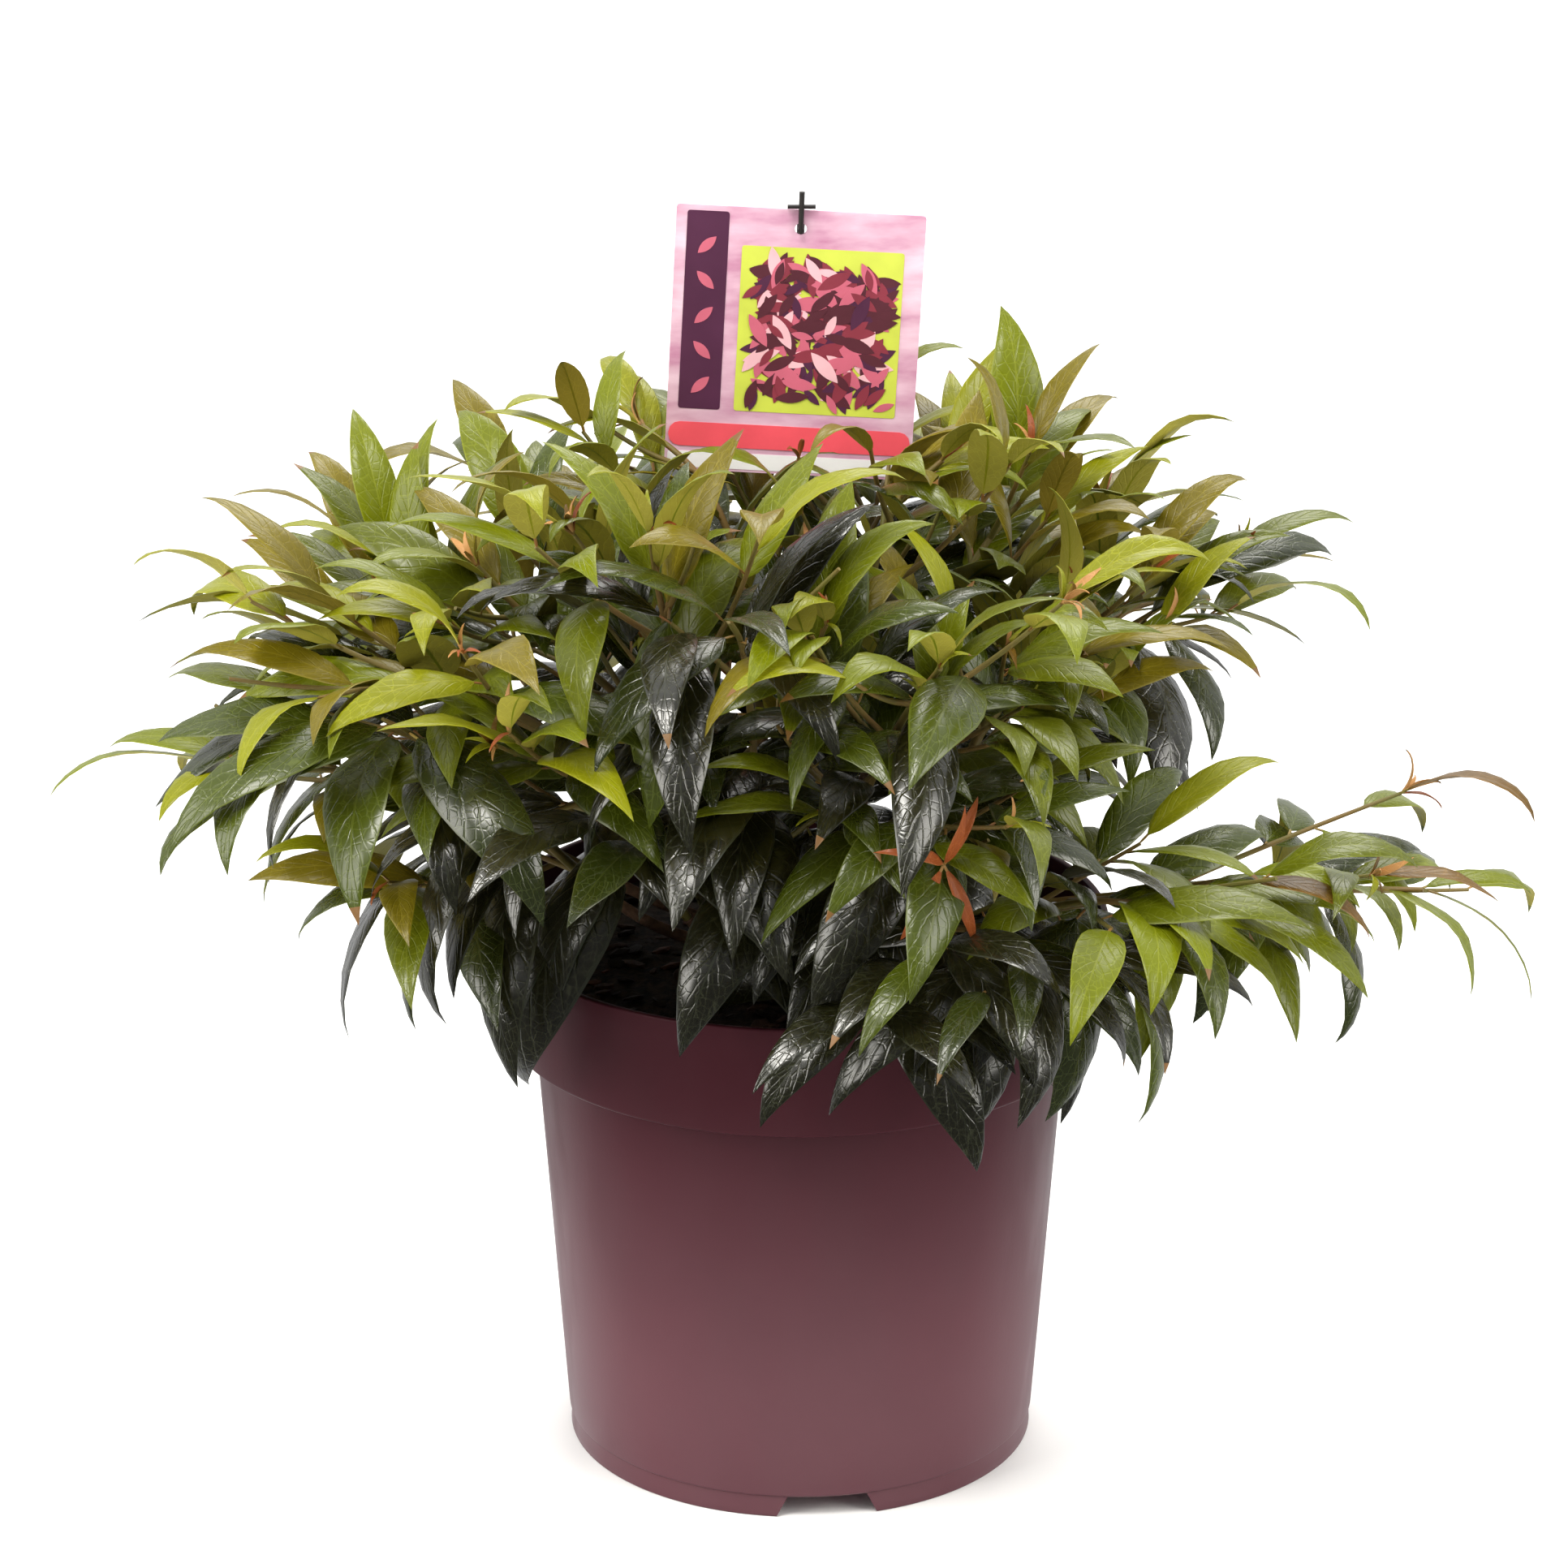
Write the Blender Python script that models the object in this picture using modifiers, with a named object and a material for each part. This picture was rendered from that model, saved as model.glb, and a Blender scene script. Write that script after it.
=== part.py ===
"""A leucothoe shrub in a round nursery pot, with a label card on a thin stake.

Metres, +Z up. The origin is on the floor under the pot's axis, and the plant's
front faces -Y. The shrub is a clump of arching boughs from one woody crown. Each
bough ends where it enters its own mass of foliage, which grows by a seeded rule.
"""

import math
import random
from collections import namedtuple

import bmesh
import bpy
import numpy as np
from mathutils import Matrix, Vector
from mathutils.bvhtree import BVHTree

MM = 0.001
UP = Vector((0.0, 0.0, 1.0))
CLEARANCE = 0.3 * MM
MERGE_DISTANCE = 0.00001

# The pot: a five-litre size, turned, with a deep band round its mouth.
POT_RADIUS = 112.5 * MM
POT_HEIGHT = 202.6 * MM
BAND_FOOT_HEIGHT = 159.4 * MM
BAND_FOOT_RADIUS = 107.8 * MM
BODY_TOP_RADIUS = 97.5 * MM
FOOT_RADIUS = 86.0 * MM
FOOT_STEP_HEIGHT = 8.4 * MM
FOOT_WIDTH = 3.2 * MM
POT_WALL = 1.7 * MM
POT_STEPS = 36
NOTCH_COUNT = 3
NOTCH_AZIMUTH = -83.5
NOTCH_TOP_WIDTH = 29.0 * MM
NOTCH_FOOT_WIDTH = 37.0 * MM
NOTCH_HEIGHT = 8.2 * MM
DRAIN_COUNT = 4
DRAIN_RADIUS = 5.0 * MM
DRAIN_RING_RADIUS = 58.0 * MM
DRAIN_AZIMUTH = 20.0
BASE_RISE = 0.6 * MM
BODY_SLOPE = (BODY_TOP_RADIUS - FOOT_RADIUS) / BAND_FOOT_HEIGHT

# The potting mix: its top lies a finger's width below the rim.
MIX_TOP = 183.0 * MM
MIX_EDGE_DROP = 1.8 * MM
MIX_GAP = 0.45 * MM

# The woody crown that all boughs leave: a flared foot under a dome.
CROWN_FOOT_RADIUS = 27.0 * MM
CROWN_RADIUS = 20.0 * MM
CROWN_DOME_HEIGHT = 21.0 * MM
CROWN_WAIST = 5.0 * MM
CROWN_DOME_RINGS = 5
CROWN_STEPS = 16

# The label: a card on a stake, both leaning a little to the right.
CARD_WIDTH = 89.0 * MM
CARD_HEIGHT = 98.5 * MM
CARD_THICKNESS = 0.8 * MM
CARD_CORNER = 1.2 * MM
CARD_CENTRE = Vector((-2.4, 30.0, 410.0)) * MM
CARD_LEAN = 3.1
CARD_HOLE_RADIUS = 2.2 * MM
CARD_HOLE_BELOW_TOP = 7.0 * MM
STAKE_RADIUS = 1.4 * MM
STAKE_PIN_RADIUS = 1.0 * MM
STAKE_PIN_RISE = 14.0 * MM
STAKE_BAR_RISE = 8.5 * MM
STAKE_BAR_LENGTH = 10.0 * MM
STAKE_BAR_RADIUS = 0.8 * MM
STAKE_PEG_RADIUS = 1.1 * MM
STAKE_LEAN = 1.9
STAKE_SIDES = 10

# Limbs, from the crown to the tip of each branch.
BOUGH_ROOT_RADIUS = 2.5 * MM
BOUGH_TIP_RADIUS = 1.9 * MM
SHOOT_TIP_RADIUS = 1.0 * MM
TWIG_ROOT_RADIUS = 1.5 * MM
BOUGH_SHARE = 0.34
BOUGH_POINTS = 6
STEM_POINTS = 6
TWIG_POINTS = 4
BOUGH_SIDES = 5
STEM_SIDES = 4
TWIG_SIDES = 3
PATH_POINTS = 49
LEAVE_HANDLE = 0.42
ARRIVE_HANDLE = 0.34

# Twigs: where they leave the stem, how long they are as a share of it, at which
# angles they leave, and how much of one is kept where room is short.
TWIG_FIRST = 0.10
TWIG_LAST = 0.66
TWIG_LENGTH = 0.72
TWIG_SPREAD = (34.0, 56.0)
TWIG_ROLL = 50.0
TWIG_CUTS = (1.0, 0.85, 0.7, 0.55)
TWIG_TRIES = 4

# Leaves. A shoot has a leaf at each station; the solids hold every second. Young is
# at the shoot's tip and old at its foot. Angles are in degrees.
STATION_SPACING = 9.5 * MM
STATION_STEP = 2
STATION_CROWDING = 0.75
FIRST_ON_STEM = 0.08
FIRST_ON_TWIG = 0.14
LAST_STATION = 0.985
STEEP_SHOOT = 0.72
SPIRAL = 137.5
YOUNG_ANGLE = 28.0
OLD_ANGLE_MORE = 50.0
YOUNG_LENGTH = 0.80
OLD_LENGTH_MORE = 0.28
SIZE_VARIETY = 0.14
LEAF_LIFT = 0.35
LEAF_SAG = 0.75
LEAF_ARCH = 28.0
HANGING_ARCH_MORE = 36.0
ARCH_VARIETY = (-8.0, 28.0)
LEAF_WIDTH = 0.28
LEAF_WIDEST = 0.40
LEAF_HALF_THICKNESS = 1.1 * MM
LEAF_SINK = 0.3 * MM
LEAF_CUP = 0.08
LEAF_TRIES = 8

# Room that a growing piece keeps to other things. Before the card it stays under the
# line of sight, of this slope, that ends a little above the card's lower edge.
FRINGE = 45.0 * MM
LEAF_GAP = 0.7 * MM
LIMB_GAP = 1.2 * MM
POT_GAP = 1.5 * MM
RIM_AIR = 6.0 * MM
MIX_AIR = 2.0 * MM
FLOOR_AIR = 20.0 * MM
CROWN_AIR = 32.0 * MM
CARD_AIR = (2.0 * MM, 5.5 * MM, 12.0 * MM)
CARD_SIGHT = 0.37
CARD_BARE = 10.0 * MM

# azimuth of the branch in degrees, angle at which it leaves the crown, reach of
# its stem from the axis and height of its tip in mm, angle of the tip to the
# level, number of twigs, leaf length in mm, how far leaves hang from 0 to 1, seed
Branch = namedtuple("Branch", "azimuth leave reach height nod twigs leaf hang seed")
BRANCHES = {
    "long_right": Branch(-16, 19, 229, 236, 5, 4, 62, 0.65, 281),
    "right_droop": Branch(-42, 9, 167, 246, -5, 4, 77, 0.75, 240),
    "front_right_low": Branch(-60, 15, 150, 236, -15, 4, 75, 0.80, 231),
    "front_copper": Branch(-72, 27, 139, 280, -20, 4, 69, 0.60, 695),
    "front_dark": Branch(-101, 10, 129, 358, 21, 4, 86, 1.00, 562),
    "front_left_upright": Branch(-117, 60, 114, 380, 78, 4, 75, 0.50, 386),
    "front_left_low": Branch(-131, 12, 133, 279, -10, 4, 88, 1.00, 686),
    "left_droop": Branch(-150, 12, 193, 307, -5, 4, 95, 0.90, 319),
    "left_low": Branch(-165, 22, 199, 276, -3, 4, 74, 0.35, 716),
    "left_middle": Branch(-148, 45, 195, 322, -8, 4, 73, 0.30, 900),
    "left_upper": Branch(168, 48, 159, 319, 69, 4, 73, 0.20, 106),
    "back_left": Branch(141, 18, 108, 317, 40, 4, 75, 0.45, 465),
    "back": Branch(120, 17, 157, 319, 5, 4, 70, 0.50, 55),
    "back_right": Branch(67, 36, 96, 346, -15, 4, 75, 0.40, 543),
    "right_back": Branch(30, 15, 163, 297, -9, 4, 71, 0.40, 878),
    "right_upper": Branch(14, 44, 128, 314, 18, 4, 65, 0.20, 565),
    "right_middle": Branch(-38, 32, 118, 324, 15, 4, 69, 0.40, 976),
    "front_right_upper": Branch(-71, 52, 143, 344, 37, 4, 73, 0.45, 413),
    "top_left": Branch(152, 75, 65, 379, 21, 4, 58, 0.15, 714),
    "top_right": Branch(25, 68, 92, 352, 42, 4, 65, 0.15, 963),
    "top_front": Branch(-90, 84, 19, 304, 0, 4, 60, 0.30, 836),
    "top_left_front": Branch(-162, 68, 120, 348, 52, 4, 70, 0.35, 623),
    "top_back": Branch(70, 53, 62, 376, 62, 4, 68, 0.25, 153),
    "top_centre": Branch(-20, 62, 53, 381, 34, 4, 57, 0.15, 247),
}

Leaf = namedtuple("Leaf", "root heading face length width bend")

COLOURS = {
    "pot": ((0.145, 0.070, 0.078, 1.0), 0.42),
    "mix": ((0.030, 0.017, 0.011, 1.0), 0.95),
    "bark": ((0.150, 0.070, 0.040, 1.0), 0.75),
    "card": ((0.520, 0.330, 0.420, 1.0), 0.45),
    "stake": ((0.012, 0.011, 0.012, 1.0), 0.40),
    "dark_leaf": ((0.016, 0.034, 0.012, 1.0), 0.35),
    "leaf": ((0.070, 0.130, 0.022, 1.0), 0.42),
}
DARK_MASSES = {"front_dark", "front_left_low", "left_droop", "front_right_low"}


def aim(azimuth, elevation):
    """Unit vector at these angles, in degrees."""
    turn = math.radians(azimuth)
    rise = math.radians(elevation)
    return Vector((math.cos(rise) * math.cos(turn), math.cos(rise) * math.sin(turn), math.sin(rise)))


def square_to(direction, line):
    """Unit vector: the part of direction that is square to line."""
    return (direction - line * direction.dot(line)).normalized()


def bezier(start, first, second, end, count):
    points = []
    for i in range(count):
        t = i / (count - 1)
        s = 1.0 - t
        points.append(
            start * s**3 + first * (3 * s * s * t) + second * (3 * s * t * t) + end * t**3
        )
    return points


def lengths(path):
    """Distance along the path at each of its points."""
    run = [0.0]
    for a, b in zip(path, path[1:]):
        run.append(run[-1] + (b - a).length)
    return run


def place(path, run, distance):
    """Point and heading at this distance along the path."""
    i = 0
    while i < len(path) - 2 and run[i + 1] < distance:
        i += 1
    heading = (path[i + 1] - path[i]).normalized()
    return path[i] + heading * (distance - run[i]), heading


def stretch(path, first, last, count):
    """Even points along the path between two distances."""
    run = lengths(path)
    return [place(path, run, first + (last - first) * i / (count - 1))[0] for i in range(count)]


def tapered(first, last, count):
    return [first + (last - first) * i / (count - 1) for i in range(count)]


def tube_shape(points, radii, sides):
    """Corners and faces of a closed tube: rings square to the path, and flat ends."""
    across = square_to(Vector((0.31, 0.17, 0.93)), (points[1] - points[0]).normalized())
    last = len(points) - 1
    corners = []
    faces = []
    for i, (point, radius) in enumerate(zip(points, radii)):
        heading = (points[min(i + 1, last)] - points[max(i - 1, 0)]).normalized()
        across = square_to(across, heading)
        over = heading.cross(across)
        for k in range(sides):
            turn = 2 * math.pi * k / sides
            corners.append(point + (across * math.cos(turn) + over * math.sin(turn)) * radius)
    for i in range(last):
        for k in range(sides):
            low = i * sides + k
            on = i * sides + (k + 1) % sides
            faces.append((low, on, on + sides, low + sides))
    faces.append(tuple(reversed(range(sides))))
    faces.append(tuple(range(last * sides, last * sides + sides)))
    return corners, faces


def branch_path(branch):
    """The whole limb of a branch, from the crown's dome to its tip."""
    rise = math.radians(branch.leave)
    out = aim(branch.azimuth, 0.0)
    dome_foot = MIX_TOP + CLEARANCE + CROWN_WAIST
    seat = out * (CROWN_RADIUS * math.cos(rise)) + UP * (dome_foot + CROWN_DOME_HEIGHT * math.sin(rise))
    normal = out * (math.cos(rise) / CROWN_RADIUS) + UP * (math.sin(rise) / CROWN_DOME_HEIGHT)
    normal.normalize()
    start = seat + normal * CLEARANCE
    tip = out * (branch.reach * MM) + UP * (branch.height * MM)
    chord = (tip - start).length
    first = start + normal * (chord * LEAVE_HANDLE)
    second = tip - aim(branch.azimuth, branch.nod) * (chord * ARRIVE_HANDLE)
    return bezier(start, first, second, tip, PATH_POINTS)


def split_branch(branch):
    """The bough and, a hair's breadth on, the stem of its mass."""
    path = branch_path(branch)
    whole = lengths(path)[-1]
    cut = whole * BOUGH_SHARE
    bough = stretch(path, 0.0, cut, BOUGH_POINTS)
    stem = stretch(path, cut + CLEARANCE, whole, STEM_POINTS)
    return bough, stem


def twig_path(branch, stem, run, share, side, chance):
    """A twig that leaves the stem at a share of its length and turns on along it."""
    root, heading = place(stem, run, run[-1] * share)
    level = heading.cross(UP)
    if level.length < 0.2:
        level = Vector((1.0, 0.0, 0.0))
    level = square_to(level, heading) * side
    roll = TWIG_ROLL * (1.1 - 0.7 * branch.hang)
    level.rotate(Matrix.Rotation(math.radians(chance.uniform(-roll, roll)), 3, heading))
    spread = math.radians(chance.uniform(*TWIG_SPREAD))
    leave = (heading * math.cos(spread) + level * math.sin(spread)).normalized()
    length = run[-1] * TWIG_LENGTH * chance.uniform(0.85, 1.1) * (1.15 - 0.6 * share)
    on = (leave * 0.75 + heading * 0.35 + UP * (0.55 - 0.75 * branch.hang)).normalized()
    middle = root + leave * (length * 0.45)
    tip = middle + on * (length * 0.55)
    return bezier(root, root + leave * (length * 0.3), tip - on * (length * 0.3), tip, TWIG_POINTS)


def twigs_of(branch, stem, attempt):
    """The twigs of a mass, on alternate sides of its stem."""
    chance = random.Random(branch.seed + 1000 * attempt)
    run = lengths(stem)
    side = 1 if branch.seed % 2 else -1
    twigs = []
    for i in range(branch.twigs):
        share = TWIG_FIRST + (TWIG_LAST - TWIG_FIRST) * i / max(1, branch.twigs - 1)
        share += chance.uniform(-0.03, 0.03)
        twigs.append(twig_path(branch, stem, run, share, side, chance))
        side = -side
    return twigs


def side_of(heading, station, start, chance):
    """Where round the shoot a leaf stands: in two ranks on a level shoot, in a
    spiral on an upright one."""
    if abs(heading.z) > STEEP_SHOOT:
        across = square_to(Vector((1.0, 0.0, 0.0)), heading)
        turn = start + SPIRAL * station + chance.uniform(-15.0, 15.0)
    else:
        across = square_to(heading.cross(UP), heading)
        turn = (0.0 if station % 4 < 2 else 180.0) + chance.uniform(-32.0, 32.0)
    across.rotate(Matrix.Rotation(math.radians(turn), 3, heading))
    return across


def leaf_at(root, heading, share, side, branch, chance):
    """One leaf: old ones near the shoot's foot stand out and hang, young ones near
    its tip point forward and stay straighter."""
    age = 1.0 - share
    angle = math.radians(YOUNG_ANGLE + OLD_ANGLE_MORE * age + chance.uniform(-9.0, 9.0))
    out = (heading * math.cos(angle) + side * math.sin(angle)).normalized()
    sag = branch.hang * (0.25 + 0.75 * age) * chance.uniform(0.6, 1.1)
    out = (out + UP * (LEAF_LIFT * (1.0 - branch.hang) - LEAF_SAG * sag)).normalized()
    face = square_to(UP * 0.8 + heading * 0.45, out)
    length = branch.leaf * MM * (YOUNG_LENGTH + OLD_LENGTH_MORE * age)
    length *= chance.uniform(1.0 - SIZE_VARIETY, 1.0 + SIZE_VARIETY)
    width = length * LEAF_WIDTH * chance.uniform(1.0 - SIZE_VARIETY, 1.0 + SIZE_VARIETY)
    arch = LEAF_ARCH + HANGING_ARCH_MORE * branch.hang * age + chance.uniform(*ARCH_VARIETY)
    return Leaf(root, out, face, length, width, math.radians(arch))


def leaf_spot(leaf, t, across=0.0, lift=0.0):
    """A point of the arched leaf: t along it, across and lift in metres."""
    turn = leaf.bend * t
    radius = leaf.length / leaf.bend
    middle = leaf.root + leaf.heading * (radius * math.sin(turn))
    middle -= leaf.face * (radius * (1.0 - math.cos(turn)))
    face = leaf.face * math.cos(turn) + leaf.heading * math.sin(turn)
    side = leaf.heading.cross(leaf.face)
    return middle + side * across + face * lift


def leaf_corners(leaf):
    """The root, sunk in the twig, four corners round the widest place, and the tip."""
    half = leaf.width / 2
    cup = leaf.width * LEAF_CUP
    return [
        leaf.root - leaf.heading * LEAF_SINK,
        leaf_spot(leaf, LEAF_WIDEST, -half, -cup),
        leaf_spot(leaf, LEAF_WIDEST, half, -cup),
        leaf_spot(leaf, LEAF_WIDEST, 0.0, LEAF_HALF_THICKNESS),
        leaf_spot(leaf, LEAF_WIDEST, 0.0, -LEAF_HALF_THICKNESS),
        leaf_spot(leaf, 1.0),
    ]


LEAF_FACES = [
    (0, 1, 3),
    (0, 3, 2),
    (0, 4, 1),
    (0, 2, 4),
    (5, 3, 1),
    (5, 2, 3),
    (5, 1, 4),
    (5, 4, 2),
]


def samples_of(corners):
    """Points spread over a leaf's solid, to test the space it takes."""
    root, left, right, top, _, tip = corners
    across = [left, (left + top) / 2, top, (right + top) / 2, right]
    found = [root.lerp(spot, share) for share in (0.3, 0.5, 0.7, 0.85, 1.0) for spot in across]
    found += [spot.lerp(tip, share) for share in (0.15, 0.3, 0.45, 0.6, 0.8) for spot in across]
    return found + [tip]


class Shapes:
    """Closed shapes that have grown so far, and who owns each of their faces."""

    def __init__(self):
        self.corners = []
        self.faces = []
        self.owners = []
        self.tree = None

    def add(self, corners, faces, owner):
        first = len(self.corners)
        self.corners += corners
        self.faces += [tuple(first + i for i in face) for face in faces]
        self.owners += [owner] * len(faces)
        self.tree = BVHTree.FromPolygons(self.corners, self.faces)

    def crossed_by(self, corners, faces):
        """The owners whose surface this shape would cut through."""
        if self.tree is None:
            return set()
        pairs = BVHTree.FromPolygons(corners, faces).overlap(self.tree)
        return {self.owners[face] for _, face in pairs}

    def near(self, points, gap):
        return self.tree is not None and any(
            self.tree.find_nearest(point, gap)[0] is not None for point in points
        )


class Crown:
    """What has grown so far, and which space is still free for each mass."""

    def __init__(self):
        self.shoots = {}
        self.leaves = {}
        self.limb_shapes = Shapes()
        self.leaf_shapes = Shapes()
        sites = []
        owners = []
        for name, branch in BRANCHES.items():
            bough, stem = split_branch(branch)
            self.shoots[name] = [stem]
            self.leaves[name] = []
            self.add_limb(bough, BOUGH_ROOT_RADIUS, (name, -1))
            self.add_limb(stem, BOUGH_TIP_RADIUS, (name, 0))
            line = stretch(stem, 0.0, lengths(stem)[-1] + 12 * MM, 14)
            sites += [tuple(point) for point in line]
            owners += [name] * len(line)
        self.add_limb(stake_line(), STAKE_RADIUS, ("label", 0))
        self.sites = np.array(sites)
        self.owners = np.array(owners)
        card = Matrix.Translation(CARD_CENTRE) @ Matrix.Rotation(math.radians(CARD_LEAN), 4, "Y")
        self.to_card = np.array(card.inverted())

    def add_limb(self, path, radius, owner):
        """Notes a limb, with the air that the rest keeps round it."""
        self.limb_shapes.add(*tube_shape(path, [radius + LIMB_GAP] * len(path), 6), owner)

    def own(self, points, name):
        """True where the mass's own stem is the nearest, or nearly so."""
        apart = np.linalg.norm(points[:, None, :] - self.sites[None, :, :], axis=2)
        mine = self.owners == name
        return (apart[:, mine].min(axis=1) < apart[:, ~mine].min(axis=1) + FRINGE).all()

    def clear_of_pot(self, points):
        out = np.linalg.norm(points[:, :2], axis=1)
        height = points[:, 2]
        inside = (out < POT_RADIUS - RIM_AIR) & (height > MIX_TOP + MIX_AIR)
        over = height > POT_HEIGHT + POT_GAP
        outside = (out > POT_RADIUS + POT_GAP) & (height > FLOOR_AIR)
        dome = (out < CROWN_FOOT_RADIUS + POT_GAP) & (height < MIX_TOP + CROWN_AIR)
        return ((inside | over | outside) & ~dome).all()

    def clear_of_card(self, points):
        local = points @ self.to_card[:3, :3].T + self.to_card[:3, 3]
        near_x = abs(local[:, 0]) < CARD_WIDTH / 2 + CARD_AIR[0]
        near_y = abs(local[:, 1]) < CARD_AIR[1]
        near_z = abs(local[:, 2]) < CARD_HEIGHT / 2 + CARD_AIR[2]
        hiding = local[:, 2] + CARD_SIGHT * local[:, 1] > CARD_BARE - CARD_HEIGHT / 2
        before = (local[:, 1] < 0) & hiding
        return not (near_x & (near_y & near_z | before)).any()

    def has_room(self, points, name):
        spots = np.array([tuple(point) for point in points])
        return self.own(spots, name) and self.clear_of_pot(spots) and self.clear_of_card(spots)

    def add_twig(self, name, twig):
        """Grows the twig as far as there is room, and says if it grew at all."""
        whole = lengths(twig)[-1]
        for share in TWIG_CUTS:
            shorter = stretch(twig, 0.0, whole * share, TWIG_POINTS)
            shape = tube_shape(shorter, [TWIG_ROOT_RADIUS + LIMB_GAP] * TWIG_POINTS, 6)
            if not self.has_room(stretch(twig, 0.0, whole * share, 12), name):
                continue
            if self.limb_shapes.crossed_by(*shape) - {(name, 0)}:
                continue
            if self.leaf_shapes.crossed_by(*shape) - {name}:
                continue
            self.add_limb(shorter, TWIG_ROOT_RADIUS, (name, len(self.shoots[name])))
            self.shoots[name].append(shorter)
            return True
        return False

    def add_leaf(self, name, number, leaf):
        """Adds the leaf if its solid has room, and says if it did."""
        corners = leaf_corners(leaf)
        points = samples_of(corners)
        if not self.has_room(points, name) or self.leaf_shapes.near(points, LEAF_GAP):
            return False
        if self.limb_shapes.crossed_by(corners, LEAF_FACES) - {(name, number)}:
            return False
        if self.leaf_shapes.crossed_by(corners, LEAF_FACES):
            return False
        self.leaf_shapes.add(corners, LEAF_FACES, name)
        self.leaves[name].append(leaf)
        return True

    def leaf_shoot(self, name, number, step):
        """Sets leaves along a shoot from its tip down, turning each until it has room."""
        branch = BRANCHES[name]
        shoot = self.shoots[name][number]
        run = lengths(shoot)
        first = (FIRST_ON_TWIG if number else FIRST_ON_STEM) * run[-1]
        last = 2 * max(2, round((run[-1] - first) / STATION_SPACING / 2))
        start = 360.0 * random.Random(branch.seed * 31 + number).random()
        for station in range(last, -1, -step):
            share = (station / last) ** STATION_CROWDING
            root, heading = place(shoot, run, first + (run[-1] - first) * share * LAST_STATION)
            for attempt in range(LEAF_TRIES):
                chance = random.Random(branch.seed * 10007 + number * 1009 + station * 11 + attempt)
                side = side_of(heading, station, start + 50.0 * attempt, chance)
                if self.add_leaf(name, number, leaf_at(root, heading, share, side, branch, chance)):
                    break

    def grow(self):
        """All stems get their leaves first, and then twig after twig."""
        for name in BRANCHES:
            self.leaf_shoot(name, 0, STATION_STEP)
        for order in range(max(branch.twigs for branch in BRANCHES.values())):
            for name, branch in BRANCHES.items():
                if order < branch.twigs:
                    self.grow_twig(name, order)

    def grow_twig(self, name, order):
        for attempt in range(TWIG_TRIES):
            twigs = twigs_of(BRANCHES[name], self.shoots[name][0], attempt)
            if self.add_twig(name, twigs[order]):
                self.leaf_shoot(name, len(self.shoots[name]) - 1, STATION_STEP)
                return


def clear_scene():
    for obj in list(bpy.data.objects):
        bpy.data.objects.remove(obj, do_unlink=True)


def collection(name):
    made = bpy.data.collections.new(name)
    bpy.context.scene.collection.children.link(made)
    return made


def material(name):
    colour, roughness = COLOURS[name]
    made = bpy.data.materials.new(name)
    made.use_nodes = True
    shader = made.node_tree.nodes["Principled BSDF"]
    shader.inputs["Base Color"].default_value = colour
    shader.inputs["Roughness"].default_value = roughness
    shader.inputs["Metallic"].default_value = 0.0
    made.diffuse_color = colour
    return made


def mesh_object(name, mesh, home, finish=None):
    obj = bpy.data.objects.new(name, mesh)
    home.objects.link(obj)
    if finish is not None:
        mesh.materials.append(finish)
    return obj


def mesh_of(name, bm):
    mesh = bpy.data.meshes.new(name)
    bm.to_mesh(mesh)
    bm.free()
    return mesh


def from_bmesh(name, bm, home, finish=None):
    return mesh_object(name, mesh_of(name, bm), home, finish)


def turned(name, profile, steps, home, finish):
    """A solid turned about Z from (radius, height) points that run down its outside."""
    mesh = bpy.data.meshes.new(name)
    points = [(radius, 0.0, height) for radius, height in profile]
    mesh.from_pydata(points, [(i, i + 1) for i in range(len(points) - 1)], [])
    obj = mesh_object(name, mesh, home, finish)
    screw = obj.modifiers.new("Turn", "SCREW")
    screw.steps = steps
    screw.render_steps = steps
    screw.use_merge_vertices = True
    screw.merge_threshold = MERGE_DISTANCE
    screw.use_smooth_shade = True
    return obj


def boolean(obj, operation, target, solver="EXACT"):
    cut = obj.modifiers.new(operation.title(), "BOOLEAN")
    cut.operation = operation
    cut.solver = solver
    if isinstance(target, bpy.types.Collection):
        cut.operand_type = "COLLECTION"
        cut.collection = target
    else:
        cut.object = target
    return cut


def as_cutter(obj):
    obj.hide_render = True
    obj.display_type = "WIRE"
    return obj


def applied_mesh(obj):
    """The mesh that the object's curve or modifiers make."""
    graph = bpy.context.evaluated_depsgraph_get()
    return bpy.data.meshes.new_from_object(obj.evaluated_get(graph))


def applied(obj):
    """Replaces the object's mesh by what its modifiers make of it."""
    mesh = applied_mesh(obj)
    obj.modifiers.clear()
    obj.data = mesh
    return obj


def section_ring(sides):
    """A closed ring with this many corners and a radius of one, to bevel limbs with."""
    curve = bpy.data.curves.new(f"section_{sides}", "CURVE")
    spline = curve.splines.new("POLY")
    spline.points.add(sides - 1)
    for k, point in enumerate(spline.points):
        turn = 2 * math.pi * k / sides
        point.co = (math.cos(turn), math.sin(turn), 0.0, 1.0)
    spline.use_cyclic_u = True
    return bpy.data.objects.new(f"section_{sides}", curve)


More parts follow.
